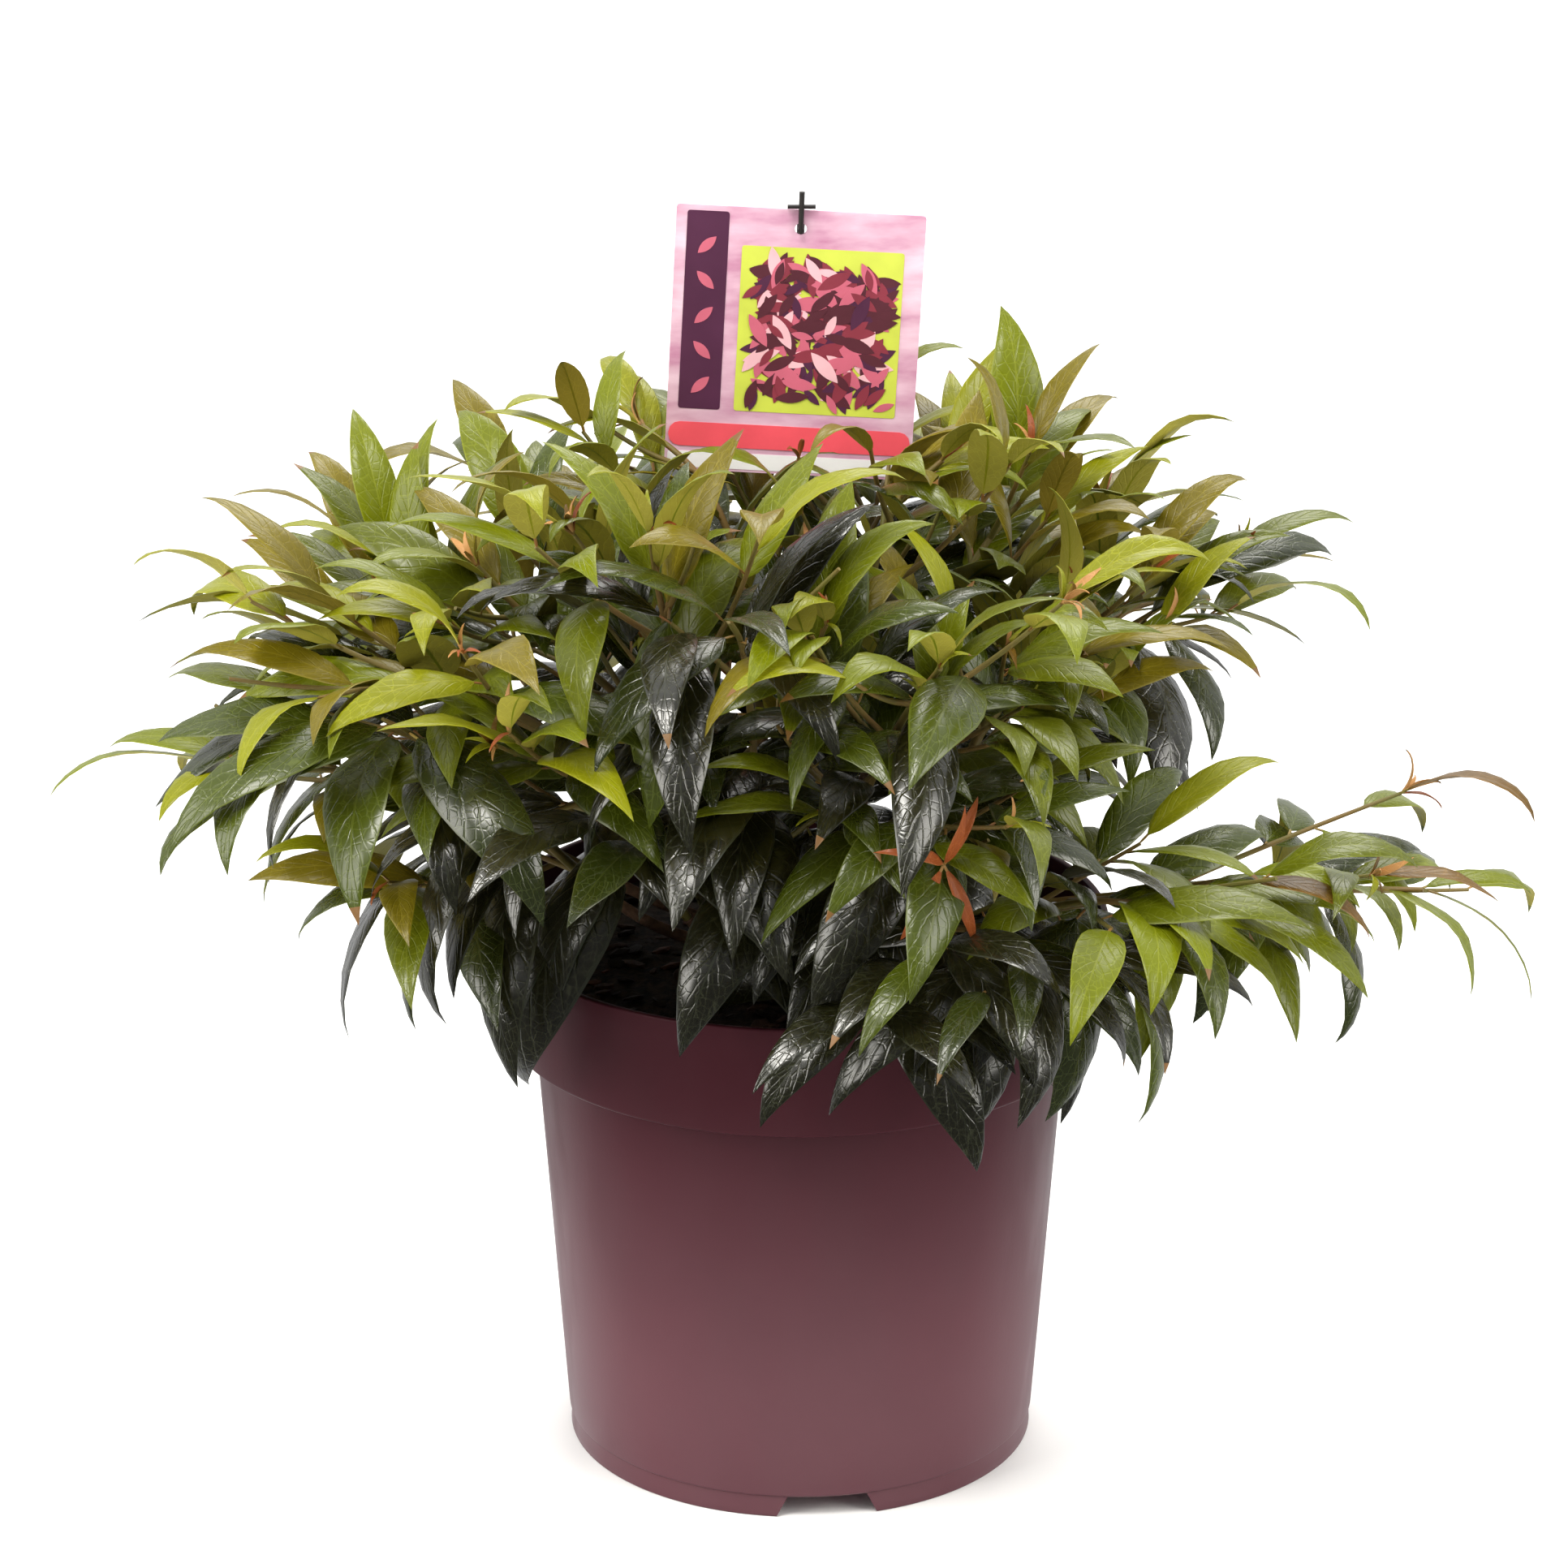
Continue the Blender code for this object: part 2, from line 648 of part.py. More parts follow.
def limb_mesh(name, points, radii, section):
    """A closed tapering tube: a bevelled curve with filled ends, turned into a mesh."""
    curve = bpy.data.curves.new(name, "CURVE")
    curve.dimensions = "3D"
    curve.bevel_mode = "OBJECT"
    curve.bevel_object = section
    curve.use_fill_caps = True
    spline = curve.splines.new("POLY")
    spline.points.add(len(points) - 1)
    for point, spot, radius in zip(spline.points, points, radii):
        point.co = (*spot, 1.0)
        point.radius = radius
    limb = mesh_object(name, curve, bpy.context.scene.collection)
    bm = bmesh.new()
    bm.from_mesh(applied_mesh(limb))
    bpy.data.objects.remove(limb, do_unlink=True)
    bmesh.ops.remove_doubles(bm, verts=bm.verts, dist=MERGE_DISTANCE)
    bmesh.ops.recalc_face_normals(bm, faces=bm.faces)
    return mesh_of(name, bm)


def leaf_mesh(name, leaf):
    """An eight-faced ball, pulled out to the leaf's root, sides, faces and tip."""
    root, left, right, top, under, tip = leaf_corners(leaf)
    pulled = {
        (0, 0, 1): root,
        (-1, 0, 0): left,
        (1, 0, 0): right,
        (0, 1, 0): top,
        (0, -1, 0): under,
        (0, 0, -1): tip,
    }
    bm = bmesh.new()
    bmesh.ops.create_uvsphere(bm, u_segments=4, v_segments=2, radius=1.0)
    for vert in bm.verts:
        vert.co = pulled[tuple(round(value) for value in vert.co)]
    return mesh_of(name, bm)


def keep_one_body(mesh):
    """Drops the scraps and inner shells that fusing can leave."""
    bm = bmesh.new()
    bm.from_mesh(mesh)
    bmesh.ops.triangulate(bm, faces=bm.faces)
    waiting = set(bm.faces)
    bodies = []
    while waiting:
        queue = [waiting.pop()]
        body = []
        while queue:
            face = queue.pop()
            body.append(face)
            for edge in face.edges:
                for other in edge.link_faces:
                    if other in waiting:
                        waiting.remove(other)
                        queue.append(other)
        bodies.append(body)
    bodies.sort(key=len)
    for body in bodies[:-1]:
        bmesh.ops.delete(bm, geom=body, context="FACES")
    bm.to_mesh(mesh)
    bm.free()
    return len(bodies) - 1


def make_pot(home, cutters):
    """Band, body, foot ring and raised base in one moulded shell."""
    step_radius = FOOT_RADIUS + BODY_SLOPE * FOOT_STEP_HEIGHT
    base_under = FOOT_STEP_HEIGHT + BASE_RISE
    base_top = base_under + POT_WALL
    ledge_top = BAND_FOOT_HEIGHT + POT_WALL
    inner_foot = step_radius - POT_WALL
    inner_body = BODY_TOP_RADIUS - POT_WALL
    lip = 0.7 * MM
    profile = [
        (0.0, base_top),
        (inner_foot, base_top),
        (inner_body, ledge_top - lip),
        (inner_body + lip, ledge_top),
        (BAND_FOOT_RADIUS - POT_WALL, ledge_top),
        (POT_RADIUS - POT_WALL - lip, POT_HEIGHT - lip),
        (POT_RADIUS - POT_WALL, POT_HEIGHT),
        (POT_RADIUS - lip, POT_HEIGHT),
        (POT_RADIUS, POT_HEIGHT - lip),
        (BAND_FOOT_RADIUS, BAND_FOOT_HEIGHT),
        (BODY_TOP_RADIUS + lip, BAND_FOOT_HEIGHT),
        (BODY_TOP_RADIUS, BAND_FOOT_HEIGHT - lip),
        (step_radius, FOOT_STEP_HEIGHT + lip),
        (step_radius - lip, FOOT_STEP_HEIGHT),
        (FOOT_RADIUS - lip, 0.0),
        (FOOT_RADIUS - FOOT_WIDTH, 0.0),
        (FOOT_RADIUS - FOOT_WIDTH, base_under),
        (0.0, base_under),
    ]
    pot = turned("pot", profile, POT_STEPS, home, material("pot"))
    for k in range(NOTCH_COUNT):
        boolean(pot, "DIFFERENCE", notch_cutter(k, cutters))
    for k in range(DRAIN_COUNT):
        boolean(pot, "DIFFERENCE", drain_cutter(k, base_under, cutters))
    return applied(pot)


def notch_cutter(k, home):
    """A wedge under the foot ring, narrower at its top."""
    bm = bmesh.new()
    bmesh.ops.create_cube(bm, size=1.0)
    depth = 24 * MM
    sunk = 3 * MM
    flare = (NOTCH_FOOT_WIDTH - NOTCH_TOP_WIDTH) / NOTCH_HEIGHT
    for vert in bm.verts:
        low = vert.co.z < 0
        width = NOTCH_FOOT_WIDTH + flare * sunk if low else NOTCH_TOP_WIDTH
        vert.co = Vector((vert.co.x * depth, vert.co.y * width, -sunk if low else NOTCH_HEIGHT))
    cutter = as_cutter(from_bmesh(f"notch_cutter_{k}", bm, home))
    azimuth = NOTCH_AZIMUTH + 360.0 * k / NOTCH_COUNT
    cutter.location = aim(azimuth, 0.0) * (FOOT_RADIUS - 2 * MM)
    cutter.rotation_euler.z = math.radians(azimuth)
    return cutter


def drain_cutter(k, base_under, home):
    """A round hole through the raised base."""
    bm = bmesh.new()
    bmesh.ops.create_cone(
        bm, cap_ends=True, segments=10, radius1=DRAIN_RADIUS, radius2=DRAIN_RADIUS, depth=4 * POT_WALL
    )
    cutter = as_cutter(from_bmesh(f"drain_cutter_{k}", bm, home))
    cutter.location = aim(DRAIN_AZIMUTH + 360.0 * k / DRAIN_COUNT, 0.0) * DRAIN_RING_RADIUS
    cutter.location.z = base_under + POT_WALL / 2
    return cutter


def make_mix(home):
    """The fill of the pot, a hair clear of its wall and floor."""
    floor = FOOT_STEP_HEIGHT + BASE_RISE + POT_WALL + MIX_GAP
    foot = FOOT_RADIUS + BODY_SLOPE * FOOT_STEP_HEIGHT - POT_WALL - MIX_GAP
    body = BODY_TOP_RADIUS - POT_WALL - MIX_GAP
    ledge = BAND_FOOT_HEIGHT + POT_WALL + MIX_GAP
    band = BAND_FOOT_RADIUS - POT_WALL - MIX_GAP
    band_slope = (POT_RADIUS - BAND_FOOT_RADIUS) / (POT_HEIGHT - BAND_FOOT_HEIGHT)
    edge = MIX_TOP - MIX_EDGE_DROP
    top_radius = band + band_slope * (edge - ledge) - 1.0 * MM
    profile = [
        (0.0, MIX_TOP),
        (0.8 * top_radius, MIX_TOP),
        (top_radius, edge),
        (band, ledge),
        (body + MIX_GAP, ledge),
        (body, ledge - POT_WALL),
        (foot, floor),
        (0.0, floor),
    ]
    return applied(turned("potting_mix", profile, POT_STEPS, home, material("mix")))


def make_crown(home):
    """The short woody stem at the plant's foot: cut flat at the soil, flared, domed."""
    foot = MIX_TOP + CLEARANCE
    waist = foot + CROWN_WAIST
    dome = []
    for i in range(CROWN_DOME_RINGS + 1):
        rise = math.radians(90.0 * (1.0 - i / CROWN_DOME_RINGS))
        dome.append((CROWN_RADIUS * math.cos(rise), waist + CROWN_DOME_HEIGHT * math.sin(rise)))
    dome[0] = (0.0, waist + CROWN_DOME_HEIGHT)
    flare = [
        (CROWN_RADIUS + 1.6 * MM, foot + 2.6 * MM),
        (CROWN_FOOT_RADIUS, foot + 0.6 * MM),
        (CROWN_FOOT_RADIUS, foot),
        (0.0, foot),
    ]
    return applied(turned("root_crown", dome + flare, CROWN_STEPS, home, material("bark")))


def make_bough(name, home, finish, section):
    """One tapering limb, from the crown to the foot of its mass."""
    bough = split_branch(BRANCHES[name])[0]
    radii = tapered(BOUGH_ROOT_RADIUS, BOUGH_TIP_RADIUS, len(bough))
    mesh = limb_mesh(f"bough_{name}", bough, radii, section)
    return mesh_object(f"bough_{name}", mesh, home, finish)


def make_mass(name, crown, home, finish, stem_section, twig_section):
    """The twigs and leaves of one branch, fused into one body."""
    leaves = crown.leaves[name]
    stem, *twigs = crown.shoots[name]
    pieces = collection(f"{name}_pieces")
    radii = tapered(BOUGH_TIP_RADIUS, SHOOT_TIP_RADIUS, len(stem))
    mass = mesh_object(f"mass_{name}", limb_mesh(name, stem, radii, stem_section), home, finish)
    for twig in twigs:
        radii = tapered(TWIG_ROOT_RADIUS, SHOOT_TIP_RADIUS, len(twig))
        mesh_object(f"{name}_twig", limb_mesh("twig", twig, radii, twig_section), pieces)
    for leaf in leaves:
        mesh_object(f"{name}_leaf", leaf_mesh("leaf", leaf), pieces)
    boolean(mass, "UNION", pieces, "MANIFOLD")
    applied(mass)
    dropped = keep_one_body(mass.data)
    for piece in list(pieces.objects):
        bpy.data.objects.remove(piece, do_unlink=True)
    bpy.data.collections.remove(pieces)
    print(f"{name}: {len(twigs)} twigs, {len(leaves)} leaves, {dropped} scraps dropped")
    return mass


def stake_line():
    """Foot and top of the stake's rod."""
    back = CARD_THICKNESS / 2 + CLEARANCE + STAKE_RADIUS
    top = hole_middle() + Vector((0.0, back, 0.0))
    lean = math.tan(math.radians(STAKE_LEAN))
    foot_height = MIX_TOP + CLEARANCE
    foot = Vector((top.x - lean * (top.z - foot_height), top.y, foot_height))
    return foot, top


def card_point(right, up):
    """A point of the leaning card, from its centre."""
    lean = math.radians(CARD_LEAN)
    across = Vector((math.cos(lean), 0.0, -math.sin(lean)))
    rise = Vector((math.sin(lean), 0.0, math.cos(lean)))
    return CARD_CENTRE + across * right + rise * up


def hole_middle():
    return card_point(0.0, CARD_HEIGHT / 2 - CARD_HOLE_BELOW_TOP)


def make_card(home, cutters):
    """A thin card with clipped corners and a hole near its top edge."""
    bm = bmesh.new()
    bmesh.ops.create_cube(bm, size=1.0)
    bmesh.ops.scale(bm, vec=(CARD_WIDTH, CARD_THICKNESS, CARD_HEIGHT), verts=bm.verts)
    upright = [e for e in bm.edges if abs((e.verts[0].co - e.verts[1].co).y) > CARD_THICKNESS / 2]
    bmesh.ops.bevel(
        bm, geom=upright, offset=CARD_CORNER, segments=2, profile=0.5, affect="EDGES", material=-1
    )
    card = from_bmesh("label_card", bm, home, material("card"))
    card.location = CARD_CENTRE
    card.rotation_euler.y = math.radians(CARD_LEAN)
    through = Vector((0.0, 4 * MM, 0.0))
    middle = hole_middle()
    hole = rod("card_hole", middle - through, middle + through, CARD_HOLE_RADIUS, 12, cutters)
    boolean(card, "DIFFERENCE", as_cutter(hole))
    return card


def rod(name, start, end, radius, sides, home, finish=None):
    """A straight round rod between two points."""
    bm = bmesh.new()
    bmesh.ops.create_cone(
        bm, cap_ends=True, segments=sides, radius1=radius, radius2=radius, depth=(end - start).length
    )
    obj = from_bmesh(name, bm, home, finish)
    obj.matrix_world = Matrix.Translation((start + end) / 2) @ (
        (end - start).to_track_quat("Z", "Y").to_matrix().to_4x4()
    )
    return obj


def make_stake(home, cutters):
    """A rod behind the card, a peg through its hole, and a pin and bar before it."""
    foot, top = stake_line()
    lean = (top - foot).normalized()
    front = -(CARD_THICKNESS + 2 * CLEARANCE + STAKE_RADIUS + STAKE_PIN_RADIUS)
    pin_foot = top + Vector((0.0, front, 0.0))
    sink = Vector((0.0, 0.6 * MM, 0.0))
    half_bar = Vector((STAKE_BAR_LENGTH / 2, 0.0, 0.0))
    stake_top = top + lean * STAKE_RADIUS
    pin_low = pin_foot - lean * STAKE_PEG_RADIUS
    pin_top = pin_foot + lean * STAKE_PIN_RISE
    bar_middle = pin_foot + lean * STAKE_BAR_RISE
    stake = rod("label_stake", foot, stake_top, STAKE_RADIUS, STAKE_SIDES, home, material("stake"))
    peg = rod("stake_peg", top + sink, pin_foot - sink, STAKE_PEG_RADIUS, 8, cutters)
    pin = rod("stake_pin", pin_low, pin_top, STAKE_PIN_RADIUS, 8, cutters)
    bar = rod("stake_bar", bar_middle - half_bar, bar_middle + half_bar, STAKE_BAR_RADIUS, 6, cutters)
    for piece in (peg, pin, bar):
        boolean(stake, "UNION", as_cutter(piece))
    return stake


def main():
    clear_scene()
    plant = collection("potted_leucothoe")
    cutters = collection("cutters")
    make_pot(plant, cutters)
    make_mix(plant)
    make_crown(plant)
    make_card(plant, cutters)
    make_stake(plant, cutters)
    bark = material("bark")
    dark = material("dark_leaf")
    green = material("leaf")
    sections = [section_ring(sides) for sides in (BOUGH_SIDES, STEM_SIDES, TWIG_SIDES)]
    crown = Crown()
    crown.grow()
    for name in BRANCHES:
        make_bough(name, plant, bark, sections[0])
        make_mass(name, crown, plant, dark if name in DARK_MASSES else green, *sections[1:])
    for section in sections:
        bpy.data.objects.remove(section, do_unlink=True)
    print(f"{sum(map(len, crown.leaves.values()))} leaves in all")


if __name__ == "__main__":
    main()
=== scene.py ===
# %% [markdown]
# # A leucothoe shrub in a nursery pot
#
# This lesson dresses a measured plant. The pot, the label, the boughs and the masses
# of foliage already exist as plain solids, and each of them gives way here to what it
# stands for. The same seeded rule that grew the solids grows the leaves again, so
# every leaf starts where its solid does, and finer ones fill the room between them.

# %% The frame
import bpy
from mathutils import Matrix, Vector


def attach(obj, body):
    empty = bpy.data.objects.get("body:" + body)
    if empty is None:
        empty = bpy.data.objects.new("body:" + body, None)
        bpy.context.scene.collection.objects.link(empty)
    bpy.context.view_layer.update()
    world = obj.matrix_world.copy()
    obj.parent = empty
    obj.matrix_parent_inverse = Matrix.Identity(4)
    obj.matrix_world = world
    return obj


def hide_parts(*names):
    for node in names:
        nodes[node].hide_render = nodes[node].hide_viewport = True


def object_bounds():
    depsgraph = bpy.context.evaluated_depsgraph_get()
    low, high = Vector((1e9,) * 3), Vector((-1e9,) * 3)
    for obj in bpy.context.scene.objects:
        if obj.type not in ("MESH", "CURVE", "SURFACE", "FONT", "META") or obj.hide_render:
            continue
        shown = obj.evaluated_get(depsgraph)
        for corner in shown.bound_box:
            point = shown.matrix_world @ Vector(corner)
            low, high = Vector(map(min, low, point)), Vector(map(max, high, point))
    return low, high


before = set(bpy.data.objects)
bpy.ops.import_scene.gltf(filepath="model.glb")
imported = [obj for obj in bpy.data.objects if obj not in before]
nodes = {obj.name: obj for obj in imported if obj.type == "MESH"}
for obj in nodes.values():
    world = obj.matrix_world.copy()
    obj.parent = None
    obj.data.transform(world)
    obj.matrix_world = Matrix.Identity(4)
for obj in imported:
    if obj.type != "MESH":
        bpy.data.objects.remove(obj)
cad_low, cad_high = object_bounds()
cad_box = [list(cad_low), list(cad_high)]

import math
import random
from collections import namedtuple

import bmesh
import bpy
import numpy as np
from mathutils import Matrix, Vector, noise
from mathutils.bvhtree import BVHTree

MM = 0.001
UP = Vector((0.0, 0.0, 1.0))
print(f"{len(nodes)} solids, {[round(v, 3) for v in cad_box[0] + cad_box[1]]}")

# %% [markdown]
# ## Camera and light
#
# A shrub like this is pictured from a little above, with a long lens, so that the pot
# stays nearly upright and the soil shows through the leaves. The camera could be set
# by eye, but here it follows from four facts: what it looks at, how far away it
# stands, how high, and its lens. Three big soft lamps and a white room give the broad
# highlights that leathery leaves need.

# %% Camera
CAMERA_TARGET = Vector((-6.1, 0.0, 252.6)) * MM
CAMERA_DISTANCE = 2.25
CAMERA_ELEVATION = 20.26
LENS_MM = 142.5
SENSOR_MM = 36.0

rise = math.radians(CAMERA_ELEVATION)
to_camera = Vector((0.0, -math.cos(rise), math.sin(rise)))
camera = bpy.data.objects.new("camera", bpy.data.cameras.new("camera"))
camera.location = CAMERA_TARGET + to_camera * CAMERA_DISTANCE
camera.rotation_euler = (-to_camera).to_track_quat("-Z", "Y").to_euler()
camera.data.lens = LENS_MM
camera.data.sensor_width = SENSOR_MM
bpy.context.scene.collection.objects.link(camera)
bpy.context.scene.camera = camera

# %% Lamps, room and floor
LAMP_COLOUR = (1.0, 0.975, 0.91)


def lamp(name, place, size, watts):
    """A square soft lamp that faces the middle of the plant."""
    made = bpy.data.objects.new(name, bpy.data.lights.new(name, "AREA"))
    made.location = place
    made.rotation_euler = (CAMERA_TARGET - made.location).to_track_quat("-Z", "Y").to_euler()
    made.data.size = size
    made.data.energy = watts
    made.data.color = LAMP_COLOUR
    bpy.context.scene.collection.objects.link(made)


lamp("key_lamp", Vector((-0.55, -1.0, 2.6)), 0.9, 52.0)
lamp("right_lamp", Vector((1.6, -0.8, 1.1)), 1.3, 34.0)
lamp("left_lamp", Vector((-1.6, -0.7, 1.0)), 1.3, 34.0)
lamp("back_lamp", Vector((0.2, 1.6, 2.0)), 1.3, 26.0)

# %% [markdown]
# The room is a white bay: bright overhead, white behind the plant and at its sides,
# and dim in front, where the camera stands. That lights the leaves from above, lets
# the pot's edges shine, and keeps its middle deep in colour.

# %% Room
ROOM_DIM = 0.10
OVERHEAD = 0.65
BEHIND = 0.85
room = bpy.data.worlds.new("white_room")
room.use_nodes = True
air = room.node_tree
background = air.nodes["Background"]
background.inputs["Color"].default_value = (1.0, 1.0, 1.0, 1.0)
direction = air.nodes.new("ShaderNodeTexCoord")
parts_of = air.nodes.new("ShaderNodeSeparateXYZ")
air.links.new(direction.outputs["Generated"], parts_of.inputs[0])


def glow(source, low, high, strength):
    """Light that rises smoothly between two values of a part of the direction."""
    ramp = air.nodes.new("ShaderNodeMapRange")
    ramp.interpolation_type = "SMOOTHSTEP"
    ramp.inputs["From Min"].default_value = low
    ramp.inputs["From Max"].default_value = high
    ramp.inputs["To Max"].default_value = strength
    air.links.new(source, ramp.inputs["Value"])
    return ramp.outputs["Result"]


def added(first, second):
    node = air.nodes.new("ShaderNodeMath")
    node.operation = "ADD"
    air.links.new(first, node.inputs[0])
    if isinstance(second, float):
        node.inputs[1].default_value = second
    else:
        air.links.new(second, node.inputs[1])
    return node.outputs[0]


light = added(glow(parts_of.outputs["Z"], 0.25, 1.0, OVERHEAD), ROOM_DIM)
light = added(light, glow(parts_of.outputs["Y"], -0.15, 0.5, BEHIND))
air.links.new(light, background.inputs["Strength"])
bpy.context.scene.world = room
bpy.context.scene.view_settings.view_transform = "Standard"

# %% [markdown]
# ## Materials in general
#
# Each finish is its own material, with one shader and a few nodes. Two effects come
# back in many of them, so each is a node group: mottling, which drifts between two
# colours over the surface, and relief, which turns noise at a given size into a
# normal. A group gives only colours, masks and normals, and the shader stays outside.

# %% Node helpers
def new_group(name, inputs, outputs):
    """An empty node group with these sockets, and its input and output nodes."""
    group = bpy.data.node_groups.new(name, "ShaderNodeTree")
    for label, kind, value in inputs:
        socket = group.interface.new_socket(label, in_out="INPUT", socket_type=kind)
        if value is not None:
            socket.default_value = value
    for label, kind in outputs:
        group.interface.new_socket(label, in_out="OUTPUT", socket_type=kind)
    return group, group.nodes.new("NodeGroupInput"), group.nodes.new("NodeGroupOutput")


def new_material(name, colour, roughness, specular=0.5):
    """A material with plain constants, ready for patterns."""
    made = bpy.data.materials.new(name)
    made.use_nodes = True
    made.diffuse_color = (*colour, 1.0)
    shader = made.node_tree.nodes["Principled BSDF"]
    shader.inputs["Base Color"].default_value = (*colour, 1.0)
    shader.inputs["Roughness"].default_value = roughness
    shader.inputs["Specular IOR Level"].default_value = specular
    return made


def use_group(made, group, **values):
    """Places a node group in a material and sets its inputs."""
    node = made.node_tree.nodes.new("ShaderNodeGroup")
    node.node_tree = group
    for label, value in values.items():
        node.inputs[label.replace("_", " ").title()].default_value = value
    return node


def shader_of(made):
    return made.node_tree.nodes["Principled BSDF"]


def join(made, output, socket):
    made.node_tree.links.new(output, shader_of(made).inputs[socket])


# %% Mottling: two colours and a mask that drift over the surface
MOTTLE, mottle_in, mottle_out = new_group(
    "mottling",
    [
        ("First Colour", "NodeSocketColor", None),
        ("Second Colour", "NodeSocketColor", None),
        ("Scale", "NodeSocketFloat", 60.0),
        ("Contrast", "NodeSocketFloat", 0.25),
        ("Stretch", "NodeSocketVector", (1.0, 1.0, 1.0)),
    ],
    [("Colour", "NodeSocketColor"), ("Mask", "NodeSocketFloat")],
)
place = MOTTLE.nodes.new("ShaderNodeTexCoord")
stretch_node = MOTTLE.nodes.new("ShaderNodeVectorMath")
stretch_node.operation = "MULTIPLY"
cloud = MOTTLE.nodes.new("ShaderNodeTexNoise")
cloud.inputs["Detail"].default_value = 5.0
spread = MOTTLE.nodes.new("ShaderNodeMapRange")
low_edge = MOTTLE.nodes.new("ShaderNodeMath")
low_edge.operation = "SUBTRACT"
low_edge.inputs[0].default_value = 0.5
high_edge = MOTTLE.nodes.new("ShaderNodeMath")
high_edge.operation = "ADD"
high_edge.inputs[0].default_value = 0.5
blend = MOTTLE.nodes.new("ShaderNodeMix")
blend.data_type = "RGBA"
for source, target in (
    (place.outputs["Object"], stretch_node.inputs[0]),
    (mottle_in.outputs["Stretch"], stretch_node.inputs[1]),
    (stretch_node.outputs[0], cloud.inputs["Vector"]),
    (mottle_in.outputs["Scale"], cloud.inputs["Scale"]),
    (mottle_in.outputs["Contrast"], low_edge.inputs[1]),
    (mottle_in.outputs["Contrast"], high_edge.inputs[1]),
    (low_edge.outputs[0], spread.inputs["From Min"]),
    (high_edge.outputs[0], spread.inputs["From Max"]),
    (cloud.outputs["Fac"], spread.inputs["Value"]),
    (spread.outputs["Result"], blend.inputs["Factor"]),
    (mottle_in.outputs["First Colour"], blend.inputs["A"]),
    (mottle_in.outputs["Second Colour"], blend.inputs["B"]),
    (blend.outputs["Result"], mottle_out.inputs["Colour"]),
    (spread.outputs["Result"], mottle_out.inputs["Mask"]),
):
    MOTTLE.links.new(source, target)

# %% Relief: noise of a given size as a normal
RELIEF, relief_in, relief_out = new_group(
    "relief",
    [
        ("Scale", "NodeSocketFloat", 400.0),
        ("Depth", "NodeSocketFloat", 0.0002),
        ("Stretch", "NodeSocketVector", (1.0, 1.0, 1.0)),
    ],
    [("Normal", "NodeSocketVector"), ("Height", "NodeSocketFloat")],
)
place = RELIEF.nodes.new("ShaderNodeTexCoord")
stretch_node = RELIEF.nodes.new("ShaderNodeVectorMath")
stretch_node.operation = "MULTIPLY"
grain = RELIEF.nodes.new("ShaderNodeTexNoise")
grain.inputs["Detail"].default_value = 4.0
bump = RELIEF.nodes.new("ShaderNodeBump")
for source, target in (
    (place.outputs["Object"], stretch_node.inputs[0]),
    (relief_in.outputs["Stretch"], stretch_node.inputs[1]),
    (stretch_node.outputs[0], grain.inputs["Vector"]),
    (relief_in.outputs["Scale"], grain.inputs["Scale"]),
    (grain.outputs["Fac"], bump.inputs["Height"]),
    (relief_in.outputs["Depth"], bump.inputs["Distance"]),
    (bump.outputs["Normal"], relief_out.inputs["Normal"]),
    (grain.outputs["Fac"], relief_out.inputs["Height"]),
):
    RELIEF.links.new(source, target)


def paint_shade_by_height(made, low, high, tint):
    """Paints shade: multiplies the base colour by a darkening tint that grows from one height
    to another, and gives back how far it has grown."""
    tree = made.node_tree
    place = tree.nodes.new("ShaderNodeTexCoord")
    apart = tree.nodes.new("ShaderNodeSeparateXYZ")
    ramp = tree.nodes.new("ShaderNodeMapRange")
    ramp.interpolation_type = "SMOOTHSTEP"
    ramp.inputs["From Min"].default_value = low
    ramp.inputs["From Max"].default_value = high
    tinted = tree.nodes.new("ShaderNodeMix")
    tinted.data_type = "RGBA"
    tinted.blend_type = "MULTIPLY"
    tinted.inputs["B"].default_value = (*tint, 1.0)
    base = shader_of(made).inputs["Base Color"].links[0].from_socket
    tree.links.new(place.outputs["Object"], apart.inputs[0])
    tree.links.new(apart.outputs["Z"], ramp.inputs["Value"])
    tree.links.new(ramp.outputs["Result"], tinted.inputs["Factor"])
    tree.links.new(base, tinted.inputs["A"])
    join(made, tinted.outputs["Result"], "Base Color")
    return ramp.outputs["Result"]


def finish_with(made, first, second, scale, depth, grain_scale, contrast=0.2, stretch=(1.0, 1.0, 1.0)):
    """Gives a material both effects."""
    mottle = use_group(
        made, MOTTLE, first_colour=(*first, 1.0), second_colour=(*second, 1.0),
        scale=scale, contrast=contrast, stretch=stretch,
    )
    relief = use_group(made, RELIEF, scale=grain_scale, depth=depth, stretch=stretch)
    join(made, mottle.outputs["Colour"], "Base Color")
    join(made, relief.outputs["Normal"], "Normal")
    return mottle


# %% Pieces: every mesh is placed in the frame in the same way
def add_piece(name, mesh, finishes, replaced=()):
    """A piece that rides on the plant, with its materials and what it stands for."""
    made = bpy.data.objects.new(name, mesh)
    bpy.context.scene.collection.objects.link(made)
    for finish in finishes:
        mesh.materials.append(finish)
    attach(made, "root")
    if replaced:
        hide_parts(*replaced)
    return made


def mesh_from(name, bm, sharp_angle=40.0):
    """A shaded mesh from a bmesh, with its sharp edges found by angle."""
    mesh = bpy.data.meshes.new(name)
    bm.to_mesh(mesh)
    bm.free()
    mesh.shade_smooth()
    mesh.set_sharp_from_angle(angle=math.radians(sharp_angle))
    return mesh


